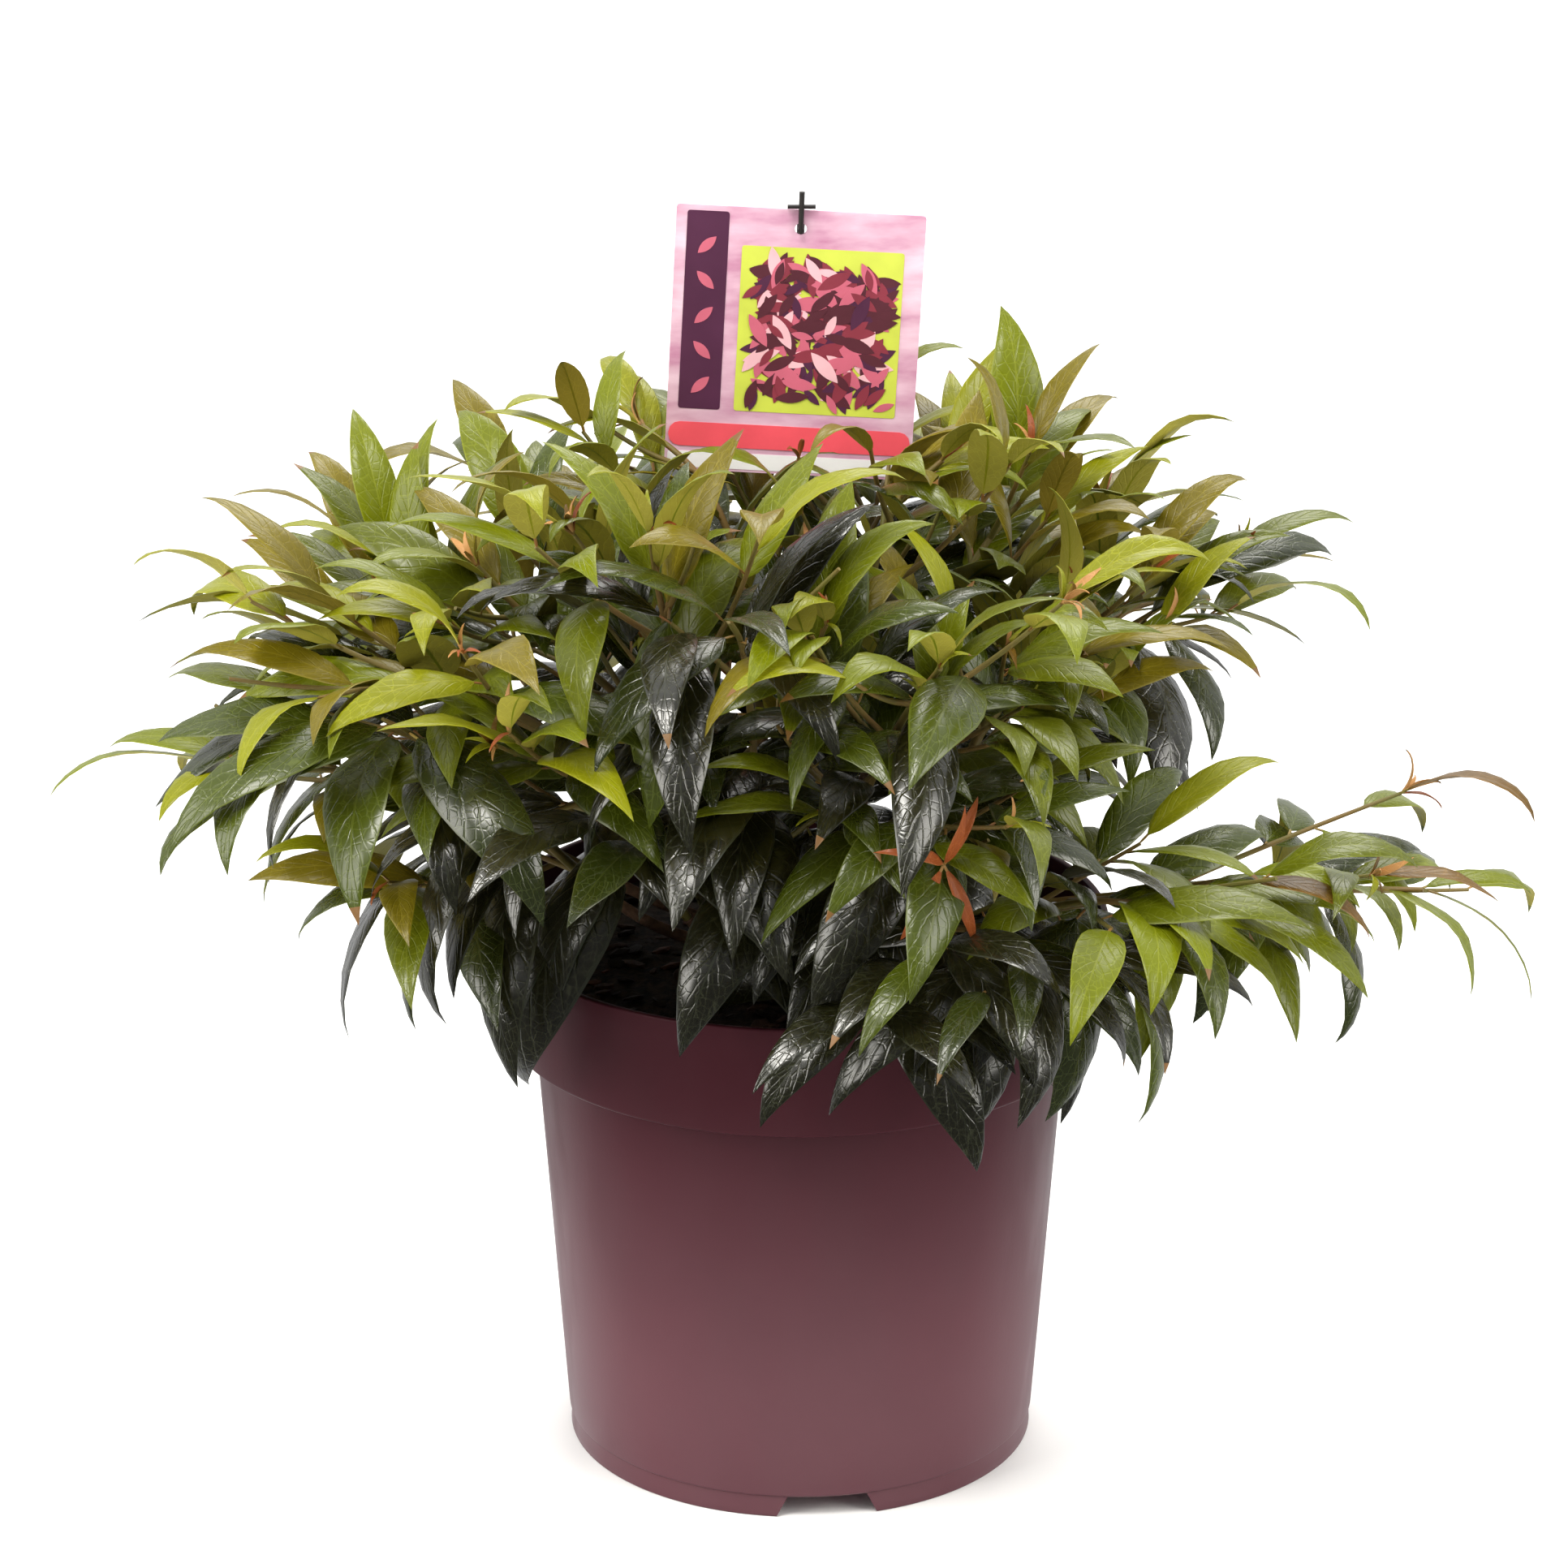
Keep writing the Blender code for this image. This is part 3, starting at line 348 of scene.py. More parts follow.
# %% Floor
FLOOR_SIZE = 9.0
floor_paint = new_material("pale_floor", (0.92, 0.93, 0.95), 0.6)
finish_with(floor_paint, (0.92, 0.93, 0.95), (0.94, 0.95, 0.96), 3.0, 0.00002, 300.0)
bm = bmesh.new()
bmesh.ops.create_grid(bm, x_segments=2, y_segments=2, size=FLOOR_SIZE)
floor_mesh = mesh_from("floor", bm)
floor_mesh.materials.append(floor_paint)
floor = bpy.data.objects.new("floor", floor_mesh)
bpy.context.scene.collection.objects.link(floor)
floor.visible_glossy = False

# %% [markdown]
# ## The pot
#
# A nursery pot is blown or moulded thin and turned about its axis: a deep band round
# the mouth, a plain tapering body, and a foot ring with three drainage notches. A
# screw modifier could turn it, but a spin of one profile keeps the rounded lip and
# the ledge under the band in view as numbers. The notches are cut by a Boolean and
# then applied, so that nothing is left behind but the pot.

# %% Pot: sizes, as in the solid
POT_RADIUS = 112.5 * MM
POT_HEIGHT = 202.6 * MM
BAND_FOOT_HEIGHT = 159.4 * MM
BAND_FOOT_RADIUS = 107.8 * MM
BODY_TOP_RADIUS = 97.5 * MM
FOOT_RADIUS = 86.0 * MM
FOOT_STEP_HEIGHT = 8.4 * MM
FOOT_WIDTH = 3.2 * MM
POT_WALL = 1.7 * MM
NOTCH_COUNT = 3
NOTCH_AZIMUTH = -83.5
NOTCH_TOP_WIDTH = 29.0 * MM
NOTCH_FOOT_WIDTH = 37.0 * MM
NOTCH_HEIGHT = 8.2 * MM
MIX_TOP = 183.0 * MM
POT_STEPS = 160
PROFILE_GRAIN = 6


def arc(centre, radius, start, end, count=5):
    """Points of a profile's rounded corner, between two angles in degrees."""
    found = []
    for i in range(count):
        turn = math.radians(start + (end - start) * i / (count - 1))
        found.append((centre[0] + radius * math.cos(turn), centre[1] + radius * math.sin(turn)))
    return found


def straight(start, end, count=PROFILE_GRAIN):
    """Points inside a straight stretch, so that long faces are cut into shorter ones."""
    return [
        (start[0] + (end[0] - start[0]) * i / count, start[1] + (end[1] - start[1]) * i / count)
        for i in range(1, count)
    ]


def spun(profile, steps):
    """A bmesh turned about Z from (radius, height) points."""
    bm = bmesh.new()
    verts = [bm.verts.new((radius, 0.0, height)) for radius, height in profile]
    edges = [bm.edges.new(pair) for pair in zip(verts, verts[1:])]
    bmesh.ops.spin(
        bm, geom=verts + edges, cent=(0, 0, 0), axis=(0, 0, 1), angle=2 * math.pi,
        steps=steps, use_merge=True,
    )
    bmesh.ops.remove_doubles(bm, verts=bm.verts, dist=0.01 * MM)
    bmesh.ops.recalc_face_normals(bm, faces=bm.faces)
    return bm


# %% Pot: the profile, down the outside and back up the inside
lip = 0.8 * MM
base_under = FOOT_STEP_HEIGHT + 0.6 * MM
base_top = base_under + POT_WALL
ledge_top = BAND_FOOT_HEIGHT + POT_WALL
slope = (BODY_TOP_RADIUS - FOOT_RADIUS) / BAND_FOOT_HEIGHT
step_radius = FOOT_RADIUS + slope * FOOT_STEP_HEIGHT
band_top = (POT_RADIUS, POT_HEIGHT - lip)
band_low = (BAND_FOOT_RADIUS, BAND_FOOT_HEIGHT + 1.6 * MM)
body_top = (BODY_TOP_RADIUS, BAND_FOOT_HEIGHT - 1.5 * MM)
body_low = (step_radius, FOOT_STEP_HEIGHT + 0.9 * MM)
outside = [
    *arc((POT_RADIUS - lip, POT_HEIGHT - lip), lip, 90.0, 0.0),
    *straight(band_top, band_low),
    *arc((BAND_FOOT_RADIUS - 1.5 * MM, BAND_FOOT_HEIGHT + 1.5 * MM), 1.5 * MM, 0.0, -90.0),
    *arc((BODY_TOP_RADIUS + 1.5 * MM, BAND_FOOT_HEIGHT - 1.5 * MM), 1.5 * MM, 90.0, 180.0),
    *straight(body_top, body_low, 12),
    *arc((step_radius - 0.9 * MM, FOOT_STEP_HEIGHT + 0.9 * MM), 0.9 * MM, 0.0, -80.0),
    *straight((step_radius - 0.8 * MM, FOOT_STEP_HEIGHT), (FOOT_RADIUS - 0.1 * MM, 0.7 * MM), 3),
    *arc((FOOT_RADIUS - 0.7 * MM, 0.7 * MM), 0.7 * MM, 0.0, -90.0, 4),
]
inside = [
    (FOOT_RADIUS - FOOT_WIDTH, 0.0),
    (FOOT_RADIUS - FOOT_WIDTH, base_under),
    (0.0, base_under),
    (0.0, base_top),
    (step_radius - POT_WALL - 1.5 * MM, base_top),
    (step_radius - POT_WALL, base_top + 1.5 * MM),
    (BODY_TOP_RADIUS - POT_WALL, ledge_top - lip),
    (BODY_TOP_RADIUS - POT_WALL + lip, ledge_top),
    (BAND_FOOT_RADIUS - POT_WALL - lip, ledge_top),
    (BAND_FOOT_RADIUS - POT_WALL, ledge_top + lip),
    (POT_RADIUS - POT_WALL - lip, POT_HEIGHT - 4 * lip),
    *arc((POT_RADIUS - POT_WALL, POT_HEIGHT - lip), lip, 180.0, 90.0),
]
pot_bm = spun(outside + inside + outside[:1], POT_STEPS)

# %% Pot: three notches under the foot ring
def cut_by(bm, cutters):
    """The bmesh with closed cutter meshes taken out of it."""
    body = bpy.data.objects.new("cut_body", bpy.data.meshes.new("cut_body"))
    bm.to_mesh(body.data)
    bm.free()
    bpy.context.scene.collection.objects.link(body)
    helpers = [body]
    for cutter in cutters:
        helper = bpy.data.objects.new("cutter", bpy.data.meshes.new("cutter"))
        cutter.to_mesh(helper.data)
        cutter.free()
        bpy.context.scene.collection.objects.link(helper)
        helpers.append(helper)
        cut = body.modifiers.new("Cut", "BOOLEAN")
        cut.object = helper
        cut.solver = "EXACT"
    graph = bpy.context.evaluated_depsgraph_get()
    done = bmesh.new()
    done.from_mesh(bpy.data.meshes.new_from_object(body.evaluated_get(graph)))
    for helper in helpers:
        bpy.data.objects.remove(helper)
    return done


def notch_wedge(k):
    """A wedge that is narrower at its top, under the foot ring."""
    depth = 24 * MM
    sunk = 3 * MM
    flare = (NOTCH_FOOT_WIDTH - NOTCH_TOP_WIDTH) / NOTCH_HEIGHT
    bm = bmesh.new()
    bmesh.ops.create_cube(bm, size=1.0)
    for vert in bm.verts:
        low = vert.co.z < 0
        width = NOTCH_FOOT_WIDTH + flare * sunk if low else NOTCH_TOP_WIDTH
        vert.co = Vector((vert.co.x * depth, vert.co.y * width, -sunk if low else NOTCH_HEIGHT))
    bmesh.ops.translate(bm, verts=bm.verts, vec=(FOOT_RADIUS - 2 * MM, 0.0, 0.0))
    turn = math.radians(NOTCH_AZIMUTH + 360.0 * k / NOTCH_COUNT)
    bmesh.ops.rotate(bm, verts=bm.verts, cent=(0, 0, 0), matrix=Matrix.Rotation(turn, 3, "Z"))
    return bm


pot_bm = cut_by(pot_bm, [notch_wedge(k) for k in range(NOTCH_COUNT)])

# %% Pot: satin plum plastic, scuffed a little, with painted shade towards the band
pot_plastic = new_material("plum_plastic", (0.126, 0.050, 0.066), 0.36, 0.3)
finish_with(
    pot_plastic, (0.112, 0.043, 0.055), (0.130, 0.051, 0.064), 14.0, 0.00002, 900.0, 0.3,
)
# Painted shade: the base colour darkens from the foot up to the band, as if the foliage above shaded it, and the
# specular level falls with it so that the band reflects less.
shaded = paint_shade_by_height(pot_plastic, 0.02, 0.19, (0.34, 0.18, 0.22))
gloss = pot_plastic.node_tree.nodes.new("ShaderNodeMapRange")
gloss.inputs["To Min"].default_value = 0.34
gloss.inputs["To Max"].default_value = 0.10
pot_plastic.node_tree.links.new(shaded, gloss.inputs["Value"])
join(pot_plastic, gloss.outputs["Result"], "Specular IOR Level")
scuffs = use_group(
    pot_plastic, MOTTLE, first_colour=(0.34, 0.34, 0.34, 1.0), second_colour=(0.44, 0.44, 0.44, 1.0),
    scale=35.0, contrast=0.08, stretch=(1.0, 1.0, 0.35),
)
join(pot_plastic, scuffs.outputs["Colour"], "Roughness")
pot = add_piece("pot_shell", mesh_from("pot_shell", pot_bm, 35.0), [pot_plastic], ["pot"])
print(f"pot: {len(pot.data.polygons)} faces")

# %% [markdown]
# ## The potting mix
#
# The mix is mostly bark: a dark, uneven bed with chips lying every way on it. A flat
# disc with a bump would look painted, so the bed is pushed up and down by noise, and
# a few hundred flattened chips lie on it, joined as one piece.

# %% Potting mix: the bed
MIX_EDGE_DROP = 1.8 * MM
MIX_ROUGHNESS = 1.4 * MM
band_slope = (POT_RADIUS - BAND_FOOT_RADIUS) / (POT_HEIGHT - BAND_FOOT_HEIGHT)
mix_radius = BAND_FOOT_RADIUS - POT_WALL + band_slope * (MIX_TOP - ledge_top) - 1.2 * MM
mix_rings = 30
mix_profile = [(mix_radius * i / mix_rings, MIX_TOP - MIX_EDGE_DROP * (i / mix_rings) ** 4) for i in range(mix_rings + 1)]
mix_profile += [(mix_radius - 2 * MM, ledge_top + 2 * MM), (0.0, ledge_top + 2 * MM)]
mix_bm = spun(mix_profile, 120)
for vert in mix_bm.verts:
    if vert.co.z > MIX_TOP - 2 * MIX_EDGE_DROP:
        rough = noise.fractal(vert.co * 220.0, 1.0, 2.0, 4)
        vert.co.z += MIX_ROUGHNESS * (rough - 0.35)
bmesh.ops.recalc_face_normals(mix_bm, faces=mix_bm.faces)

mix_soil = new_material("mix_soil", (0.012, 0.008, 0.006), 0.95, 0.2)
finish_with(mix_soil, (0.006, 0.004, 0.003), (0.030, 0.018, 0.012), 260.0, 0.0006, 700.0, 0.12)
add_piece("mix_bed", mesh_from("mix_bed", mix_bm), [mix_soil], ["potting_mix"])

# %% Potting mix: chips of bark
CHIP_COUNT = 420
chance = random.Random(5)
chip_bm = bmesh.new()
for _ in range(CHIP_COUNT):
    out = mix_radius * 0.97 * math.sqrt(chance.random())
    turn = chance.uniform(0.0, 2 * math.pi)
    length = chance.uniform(2.0, 6.5) * MM
    size = Vector((length, length * chance.uniform(0.35, 0.7), length * chance.uniform(0.18, 0.35)))
    where = Vector((out * math.cos(turn), out * math.sin(turn), MIX_TOP + chance.uniform(-0.6, 0.8) * MM))
    tip_over = Matrix.Rotation(chance.uniform(-0.5, 0.5), 4, "X")
    spot = Matrix.Translation(where) @ Matrix.Rotation(chance.uniform(0, 6.28), 4, "Z") @ tip_over
    before = len(chip_bm.faces)
    bmesh.ops.create_icosphere(chip_bm, subdivisions=1, radius=1.0, matrix=spot @ Matrix.Diagonal((*size, 1.0)))
    chip_bm.faces.ensure_lookup_table()
    tone = chance.choice((0, 0, 0, 1, 1, 2))
    for face in chip_bm.faces[before:]:
        face.material_index = tone
chip_tones = []
for name, colour in (
    ("chip_dark", (0.018, 0.011, 0.008)), ("chip_brown", (0.055, 0.026, 0.016)), ("chip_red", (0.110, 0.045, 0.028)),
):
    chip_tones.append(new_material(name, colour, 0.85, 0.25))
    finish_with(chip_tones[-1], colour, tuple(0.6 * v for v in colour), 320.0, 0.0003, 900.0)
chips = add_piece("mix_chips", mesh_from("mix_chips", chip_bm, 25.0), chip_tones)
print(f"{CHIP_COUNT} chips of bark")

# %% [markdown]
# ## The label
#
# The card is thin printed board on a black plastic stake. Its solid already has the
# right shape, with clipped corners and the hole for the pin, so it stays and gets a
# printed finish. The print is a plain design of our own: a mauve brushed ground, a
# dark plum strip, a ribbon, and a simple motif of leaves. Each printed field is a
# sheet a tenth of a millimetre thick, because a pattern of flat fields keeps crisp
# edges that way at any distance.

# %% Label: where the card stands
CARD_WIDTH = 89.0 * MM
CARD_HEIGHT = 98.5 * MM
CARD_THICKNESS = 0.8 * MM
CARD_CENTRE = Vector((-2.4, 30.0, 410.0)) * MM
CARD_LEAN = 3.1
CARD_HOLE_BELOW_TOP = 7.0 * MM
CLEARANCE = 0.3 * MM
STAKE_RADIUS = 1.4 * MM
STAKE_LEAN = 1.9
card_place = Matrix.Translation(CARD_CENTRE) @ Matrix.Rotation(math.radians(CARD_LEAN), 4, "Y")

card_board = new_material("card_board", (0.68, 0.40, 0.52), 0.42)
brushed = finish_with(
    card_board, (0.50, 0.19, 0.33), (0.86, 0.62, 0.74), 34.0, 0.00002, 900.0, 0.20, (1.0, 1.0, 3.2),
)
nodes["label_card"].data.materials.clear()
nodes["label_card"].data.materials.append(card_board)
stake_plastic = new_material("stake_plastic", (0.014, 0.012, 0.013), 0.38)
finish_with(stake_plastic, (0.012, 0.010, 0.011), (0.020, 0.017, 0.018), 90.0, 0.00003, 900.0)
nodes["label_stake"].data.materials.clear()
nodes["label_stake"].data.materials.append(stake_plastic)

# %% Label: printed fields
PRINT_THICKNESS = 0.12 * MM


def field(bm, left, right, low, high, layer, tone, corner=1.0 * MM):
    """A flat printed field on the card's front, between edges given from its middle."""
    sheet = bmesh.new()
    bmesh.ops.create_cube(sheet, size=1.0)
    bmesh.ops.scale(sheet, vec=(right - left, PRINT_THICKNESS, high - low), verts=sheet.verts)
    front = -CARD_THICKNESS / 2 - PRINT_THICKNESS * (layer - 0.3)
    bmesh.ops.translate(sheet, vec=((left + right) / 2, front, (low + high) / 2), verts=sheet.verts)
    through = [e for e in sheet.edges if abs((e.verts[0].co - e.verts[1].co).y) > PRINT_THICKNESS / 2]
    bmesh.ops.bevel(
        sheet, geom=through, offset=corner, segments=3, profile=0.5, affect="EDGES", material=-1
    )
    add_sheet(bm, sheet, tone)


def add_sheet(bm, sheet, tone):
    """Joins a printed shape to the rest in its own ink."""
    for face in sheet.faces:
        face.material_index = tone
    helper = bpy.data.meshes.new("sheet")
    sheet.to_mesh(helper)
    sheet.free()
    bm.from_mesh(helper)
    bpy.data.meshes.remove(helper)


def motif_leaf(bm, centre, length, angle, layer, tone, slim=0.34):
    """A flat pointed leaf, cut from a disc that is drawn in towards its ends."""
    sheet = bmesh.new()
    bmesh.ops.create_cone(sheet, cap_ends=True, segments=24, radius1=0.5, radius2=0.5, depth=1.0)
    front = -CARD_THICKNESS / 2 - PRINT_THICKNESS * (layer - 0.3)
    turn = Matrix.Rotation(math.radians(angle), 4, "Y")
    for vert in sheet.verts:
        along = vert.co.x * 2.0
        across = math.copysign((1.0 - along * along) * slim / 2, vert.co.y) if abs(along) < 0.999 else 0.0
        shaped = Vector((vert.co.x * length, vert.co.z * PRINT_THICKNESS, across * length))
        vert.co = turn @ shaped + Vector((centre[0], front, centre[1]))
    add_sheet(bm, sheet, tone)


PLUM, CORAL, LIME, ROSE, WINE, PAPER, RUBY, BLUSH = range(8)
print_bm = bmesh.new()
half_wide = CARD_WIDTH / 2
half_high = CARD_HEIGHT / 2
picture = (-half_wide + 24 * MM, half_wide - 7 * MM, -half_high + 23 * MM, half_high - 14 * MM)
field(print_bm, -half_wide + 4 * MM, -half_wide + 19 * MM, -half_high + 23 * MM, half_high - 2 * MM, 1, PLUM)
field(print_bm, *picture, 1, LIME)
field(print_bm, -half_wide + 1 * MM, half_wide - 1 * MM, -half_high + 9 * MM, -half_high + 18 * MM, 2, CORAL, 4 * MM)
field(print_bm, -half_wide + 1 * MM, half_wide - 1 * MM, -half_high + 1 * MM, -half_high + 7 * MM, 1, PAPER)
chance = random.Random(12)
for _ in range(260):
    reach = chance.uniform(8.0, 15.0) * MM
    margin = reach * 0.45
    spot = (
        chance.uniform(picture[0] + margin, picture[1] - margin),
        chance.uniform(picture[2] + margin, picture[3] - margin),
    )
    tone = chance.choice((WINE, WINE, WINE, PLUM, RUBY, RUBY, ROSE, BLUSH))
    motif_leaf(print_bm, spot, reach, chance.uniform(-80.0, 80.0), 2 + 2 * chance.random(), tone)
for row in range(5):
    spot = (-half_wide + 11.5 * MM, -half_high + (32.0 + 13.0 * row) * MM)
    motif_leaf(print_bm, spot, 9.0 * MM, 45.0 if row % 2 else -45.0, 2, ROSE, 0.4)
bmesh.ops.recalc_face_normals(print_bm, faces=print_bm.faces)
bmesh.ops.transform(print_bm, matrix=card_place, verts=print_bm.verts)

print_inks = []
for name, colour in (
    ("ink_plum", (0.070, 0.018, 0.050)), ("ink_coral", (0.78, 0.085, 0.115)), ("ink_lime", (0.50, 0.56, 0.07)),
    ("ink_rose", (0.50, 0.11, 0.17)), ("ink_wine", (0.080, 0.018, 0.030)), ("ink_paper", (0.86, 0.83, 0.85)),
    ("ink_ruby", (0.21, 0.030, 0.050)), ("ink_blush", (0.70, 0.40, 0.45)),
):
    print_inks.append(new_material(name, colour, 0.35))
    finish_with(print_inks[-1], colour, tuple(min(1.0, 1.35 * v) for v in colour), 60.0, 0.00001, 900.0, 0.3)
add_piece("label_print", mesh_from("label_print", print_bm, 30.0), print_inks)

# %% [markdown]
# ## The rule of growth
#
# A leucothoe is a clump of arching shoots. Each shoot bears its leaves in two ranks
# where it lies level and in a spiral where it stands up, and old leaves near its foot
# hang while young ones point forward. The solids follow that rule with a seed for
# each branch. It is written again here, word for word, so that it gives the same
# limbs and the same leaves. What follows in this cell are its sizes.

# %% Growth: sizes
BOUGH_ROOT_RADIUS = 2.5 * MM
BOUGH_TIP_RADIUS = 1.9 * MM
SHOOT_TIP_RADIUS = 1.0 * MM
TWIG_ROOT_RADIUS = 1.5 * MM
BOUGH_SHARE = 0.34
BOUGH_POINTS = 6
STEM_POINTS = 6
TWIG_POINTS = 4
PATH_POINTS = 49
LEAVE_HANDLE = 0.42
ARRIVE_HANDLE = 0.34
TWIG_FIRST = 0.10
TWIG_LAST = 0.66
TWIG_CUTS = (1.0, 0.85, 0.7, 0.55)
CROWN_FOOT_RADIUS = 27.0 * MM
CROWN_RADIUS = 20.0 * MM
CROWN_DOME_HEIGHT = 21.0 * MM
CROWN_WAIST = 5.0 * MM
TWIG_LENGTH = 0.72
TWIG_SPREAD = (34.0, 56.0)
TWIG_ROLL = 50.0
STATION_SPACING = 9.5 * MM
STATION_STEP = 2
STATION_CROWDING = 0.75
FIRST_ON_STEM = 0.08
FIRST_ON_TWIG = 0.14
LAST_STATION = 0.985
STEEP_SHOOT = 0.72
YOUNG_ANGLE = 28.0
OLD_ANGLE_MORE = 50.0
YOUNG_LENGTH = 0.80
OLD_LENGTH_MORE = 0.28
SIZE_VARIETY = 0.14
LEAF_LIFT = 0.35
LEAF_SAG = 0.75
LEAF_ARCH = 28.0
HANGING_ARCH_MORE = 36.0
ARCH_VARIETY = (-8.0, 28.0)
LEAF_WIDTH = 0.28
LEAF_WIDEST = 0.40
LEAF_HALF_THICKNESS = 1.1 * MM
LEAF_SINK = 0.3 * MM
LEAF_CUP = 0.08
LEAF_TRIES = 8
TWIG_TRIES = 4
SPIRAL = 137.5
FRINGE = 45.0 * MM
LEAF_GAP = 0.7 * MM
LIMB_GAP = 1.2 * MM
POT_GAP = 1.5 * MM
RIM_AIR = 6.0 * MM
MIX_AIR = 2.0 * MM
FLOOR_AIR = 20.0 * MM
CROWN_AIR = 32.0 * MM
CARD_AIR = (2.0 * MM, 5.5 * MM, 12.0 * MM)
CARD_SIGHT = 0.37
CARD_BARE = 10.0 * MM

# azimuth of the branch in degrees, angle at which it leaves the crown, reach of
# its stem from the axis and height of its tip in mm, angle of the tip to the
# level, number of twigs, leaf length in mm, how far leaves hang from 0 to 1, seed
Branch = namedtuple("Branch", "azimuth leave reach height nod twigs leaf hang seed")
BRANCHES = {
    "long_right": Branch(-16, 19, 229, 236, 5, 4, 62, 0.65, 281),
    "right_droop": Branch(-42, 9, 167, 246, -5, 4, 77, 0.75, 240),
    "front_right_low": Branch(-60, 15, 150, 236, -15, 4, 75, 0.80, 231),
    "front_copper": Branch(-72, 27, 139, 280, -20, 4, 69, 0.60, 695),
    "front_dark": Branch(-101, 10, 129, 358, 21, 4, 86, 1.00, 562),
    "front_left_upright": Branch(-117, 60, 114, 380, 78, 4, 75, 0.50, 386),
    "front_left_low": Branch(-131, 12, 133, 279, -10, 4, 88, 1.00, 686),
    "left_droop": Branch(-150, 12, 193, 307, -5, 4, 95, 0.90, 319),
    "left_low": Branch(-165, 22, 199, 276, -3, 4, 74, 0.35, 716),
    "left_middle": Branch(-148, 45, 195, 322, -8, 4, 73, 0.30, 900),
    "left_upper": Branch(168, 48, 159, 319, 69, 4, 73, 0.20, 106),
    "back_left": Branch(141, 18, 108, 317, 40, 4, 75, 0.45, 465),
    "back": Branch(120, 17, 157, 319, 5, 4, 70, 0.50, 55),
    "back_right": Branch(67, 36, 96, 346, -15, 4, 75, 0.40, 543),
    "right_back": Branch(30, 15, 163, 297, -9, 4, 71, 0.40, 878),
    "right_upper": Branch(14, 44, 128, 314, 18, 4, 65, 0.20, 565),
    "right_middle": Branch(-38, 32, 118, 324, 15, 4, 69, 0.40, 976),
    "front_right_upper": Branch(-71, 52, 143, 344, 37, 4, 73, 0.45, 413),
    "top_left": Branch(152, 75, 65, 379, 21, 4, 58, 0.15, 714),
    "top_right": Branch(25, 68, 92, 352, 42, 4, 65, 0.15, 963),
    "top_front": Branch(-90, 84, 19, 304, 0, 4, 60, 0.30, 836),
    "top_left_front": Branch(-162, 68, 120, 348, 52, 4, 70, 0.35, 623),
    "top_back": Branch(70, 53, 62, 376, 62, 4, 68, 0.25, 153),
    "top_centre": Branch(-20, 62, 53, 381, 34, 4, 57, 0.15, 247),
}

Leaf = namedtuple("Leaf", "root heading face length width bend")

# %% Growth: curves and places on them
def aim(azimuth, elevation):
    """Unit vector at these angles, in degrees."""
    turn = math.radians(azimuth)
    rise = math.radians(elevation)
    return Vector((math.cos(rise) * math.cos(turn), math.cos(rise) * math.sin(turn), math.sin(rise)))


def square_to(direction, line):
    """Unit vector: the part of direction that is square to line."""
    return (direction - line * direction.dot(line)).normalized()


def bezier(start, first, second, end, count):
    points = []
    for i in range(count):
        t = i / (count - 1)
        s = 1.0 - t
        points.append(
            start * s**3 + first * (3 * s * s * t) + second * (3 * s * t * t) + end * t**3
        )
    return points


def lengths(path):
    """Distance along the path at each of its points."""
    run = [0.0]
    for a, b in zip(path, path[1:]):
        run.append(run[-1] + (b - a).length)
    return run


def place(path, run, distance):
    """Point and heading at this distance along the path."""
    i = 0
    while i < len(path) - 2 and run[i + 1] < distance:
        i += 1
    heading = (path[i + 1] - path[i]).normalized()
    return path[i] + heading * (distance - run[i]), heading


def stretch(path, first, last, count):
    """Even points along the path between two distances."""
    run = lengths(path)
    return [place(path, run, first + (last - first) * i / (count - 1))[0] for i in range(count)]


def tube_shape(points, radii, sides):
    """Corners and faces of a closed tube: rings square to the path, and flat ends."""
    across = square_to(Vector((0.31, 0.17, 0.93)), (points[1] - points[0]).normalized())
    last = len(points) - 1
    corners = []
    faces = []
    for i, (point, radius) in enumerate(zip(points, radii)):
        heading = (points[min(i + 1, last)] - points[max(i - 1, 0)]).normalized()
        across = square_to(across, heading)
        over = heading.cross(across)
        for k in range(sides):
            turn = 2 * math.pi * k / sides
            corners.append(point + (across * math.cos(turn) + over * math.sin(turn)) * radius)
    for i in range(last):
        for k in range(sides):
            low = i * sides + k
            on = i * sides + (k + 1) % sides
            faces.append((low, on, on + sides, low + sides))
    faces.append(tuple(reversed(range(sides))))
    faces.append(tuple(range(last * sides, last * sides + sides)))
    return corners, faces

# %% Growth: boughs, stems and twigs
def branch_path(branch):
    """The whole limb of a branch, from the crown's dome to its tip."""
    rise = math.radians(branch.leave)
    out = aim(branch.azimuth, 0.0)
    dome_foot = MIX_TOP + CLEARANCE + CROWN_WAIST
    seat = out * (CROWN_RADIUS * math.cos(rise)) + UP * (dome_foot + CROWN_DOME_HEIGHT * math.sin(rise))
    normal = out * (math.cos(rise) / CROWN_RADIUS) + UP * (math.sin(rise) / CROWN_DOME_HEIGHT)
    normal.normalize()
    start = seat + normal * CLEARANCE
    tip = out * (branch.reach * MM) + UP * (branch.height * MM)
    chord = (tip - start).length
    first = start + normal * (chord * LEAVE_HANDLE)
    second = tip - aim(branch.azimuth, branch.nod) * (chord * ARRIVE_HANDLE)
    return bezier(start, first, second, tip, PATH_POINTS)


def split_branch(branch):
    """The bough and, a hair's breadth on, the stem of its mass."""
    path = branch_path(branch)
    whole = lengths(path)[-1]
    cut = whole * BOUGH_SHARE
    bough = stretch(path, 0.0, cut, BOUGH_POINTS)
    stem = stretch(path, cut + CLEARANCE, whole, STEM_POINTS)
    return bough, stem


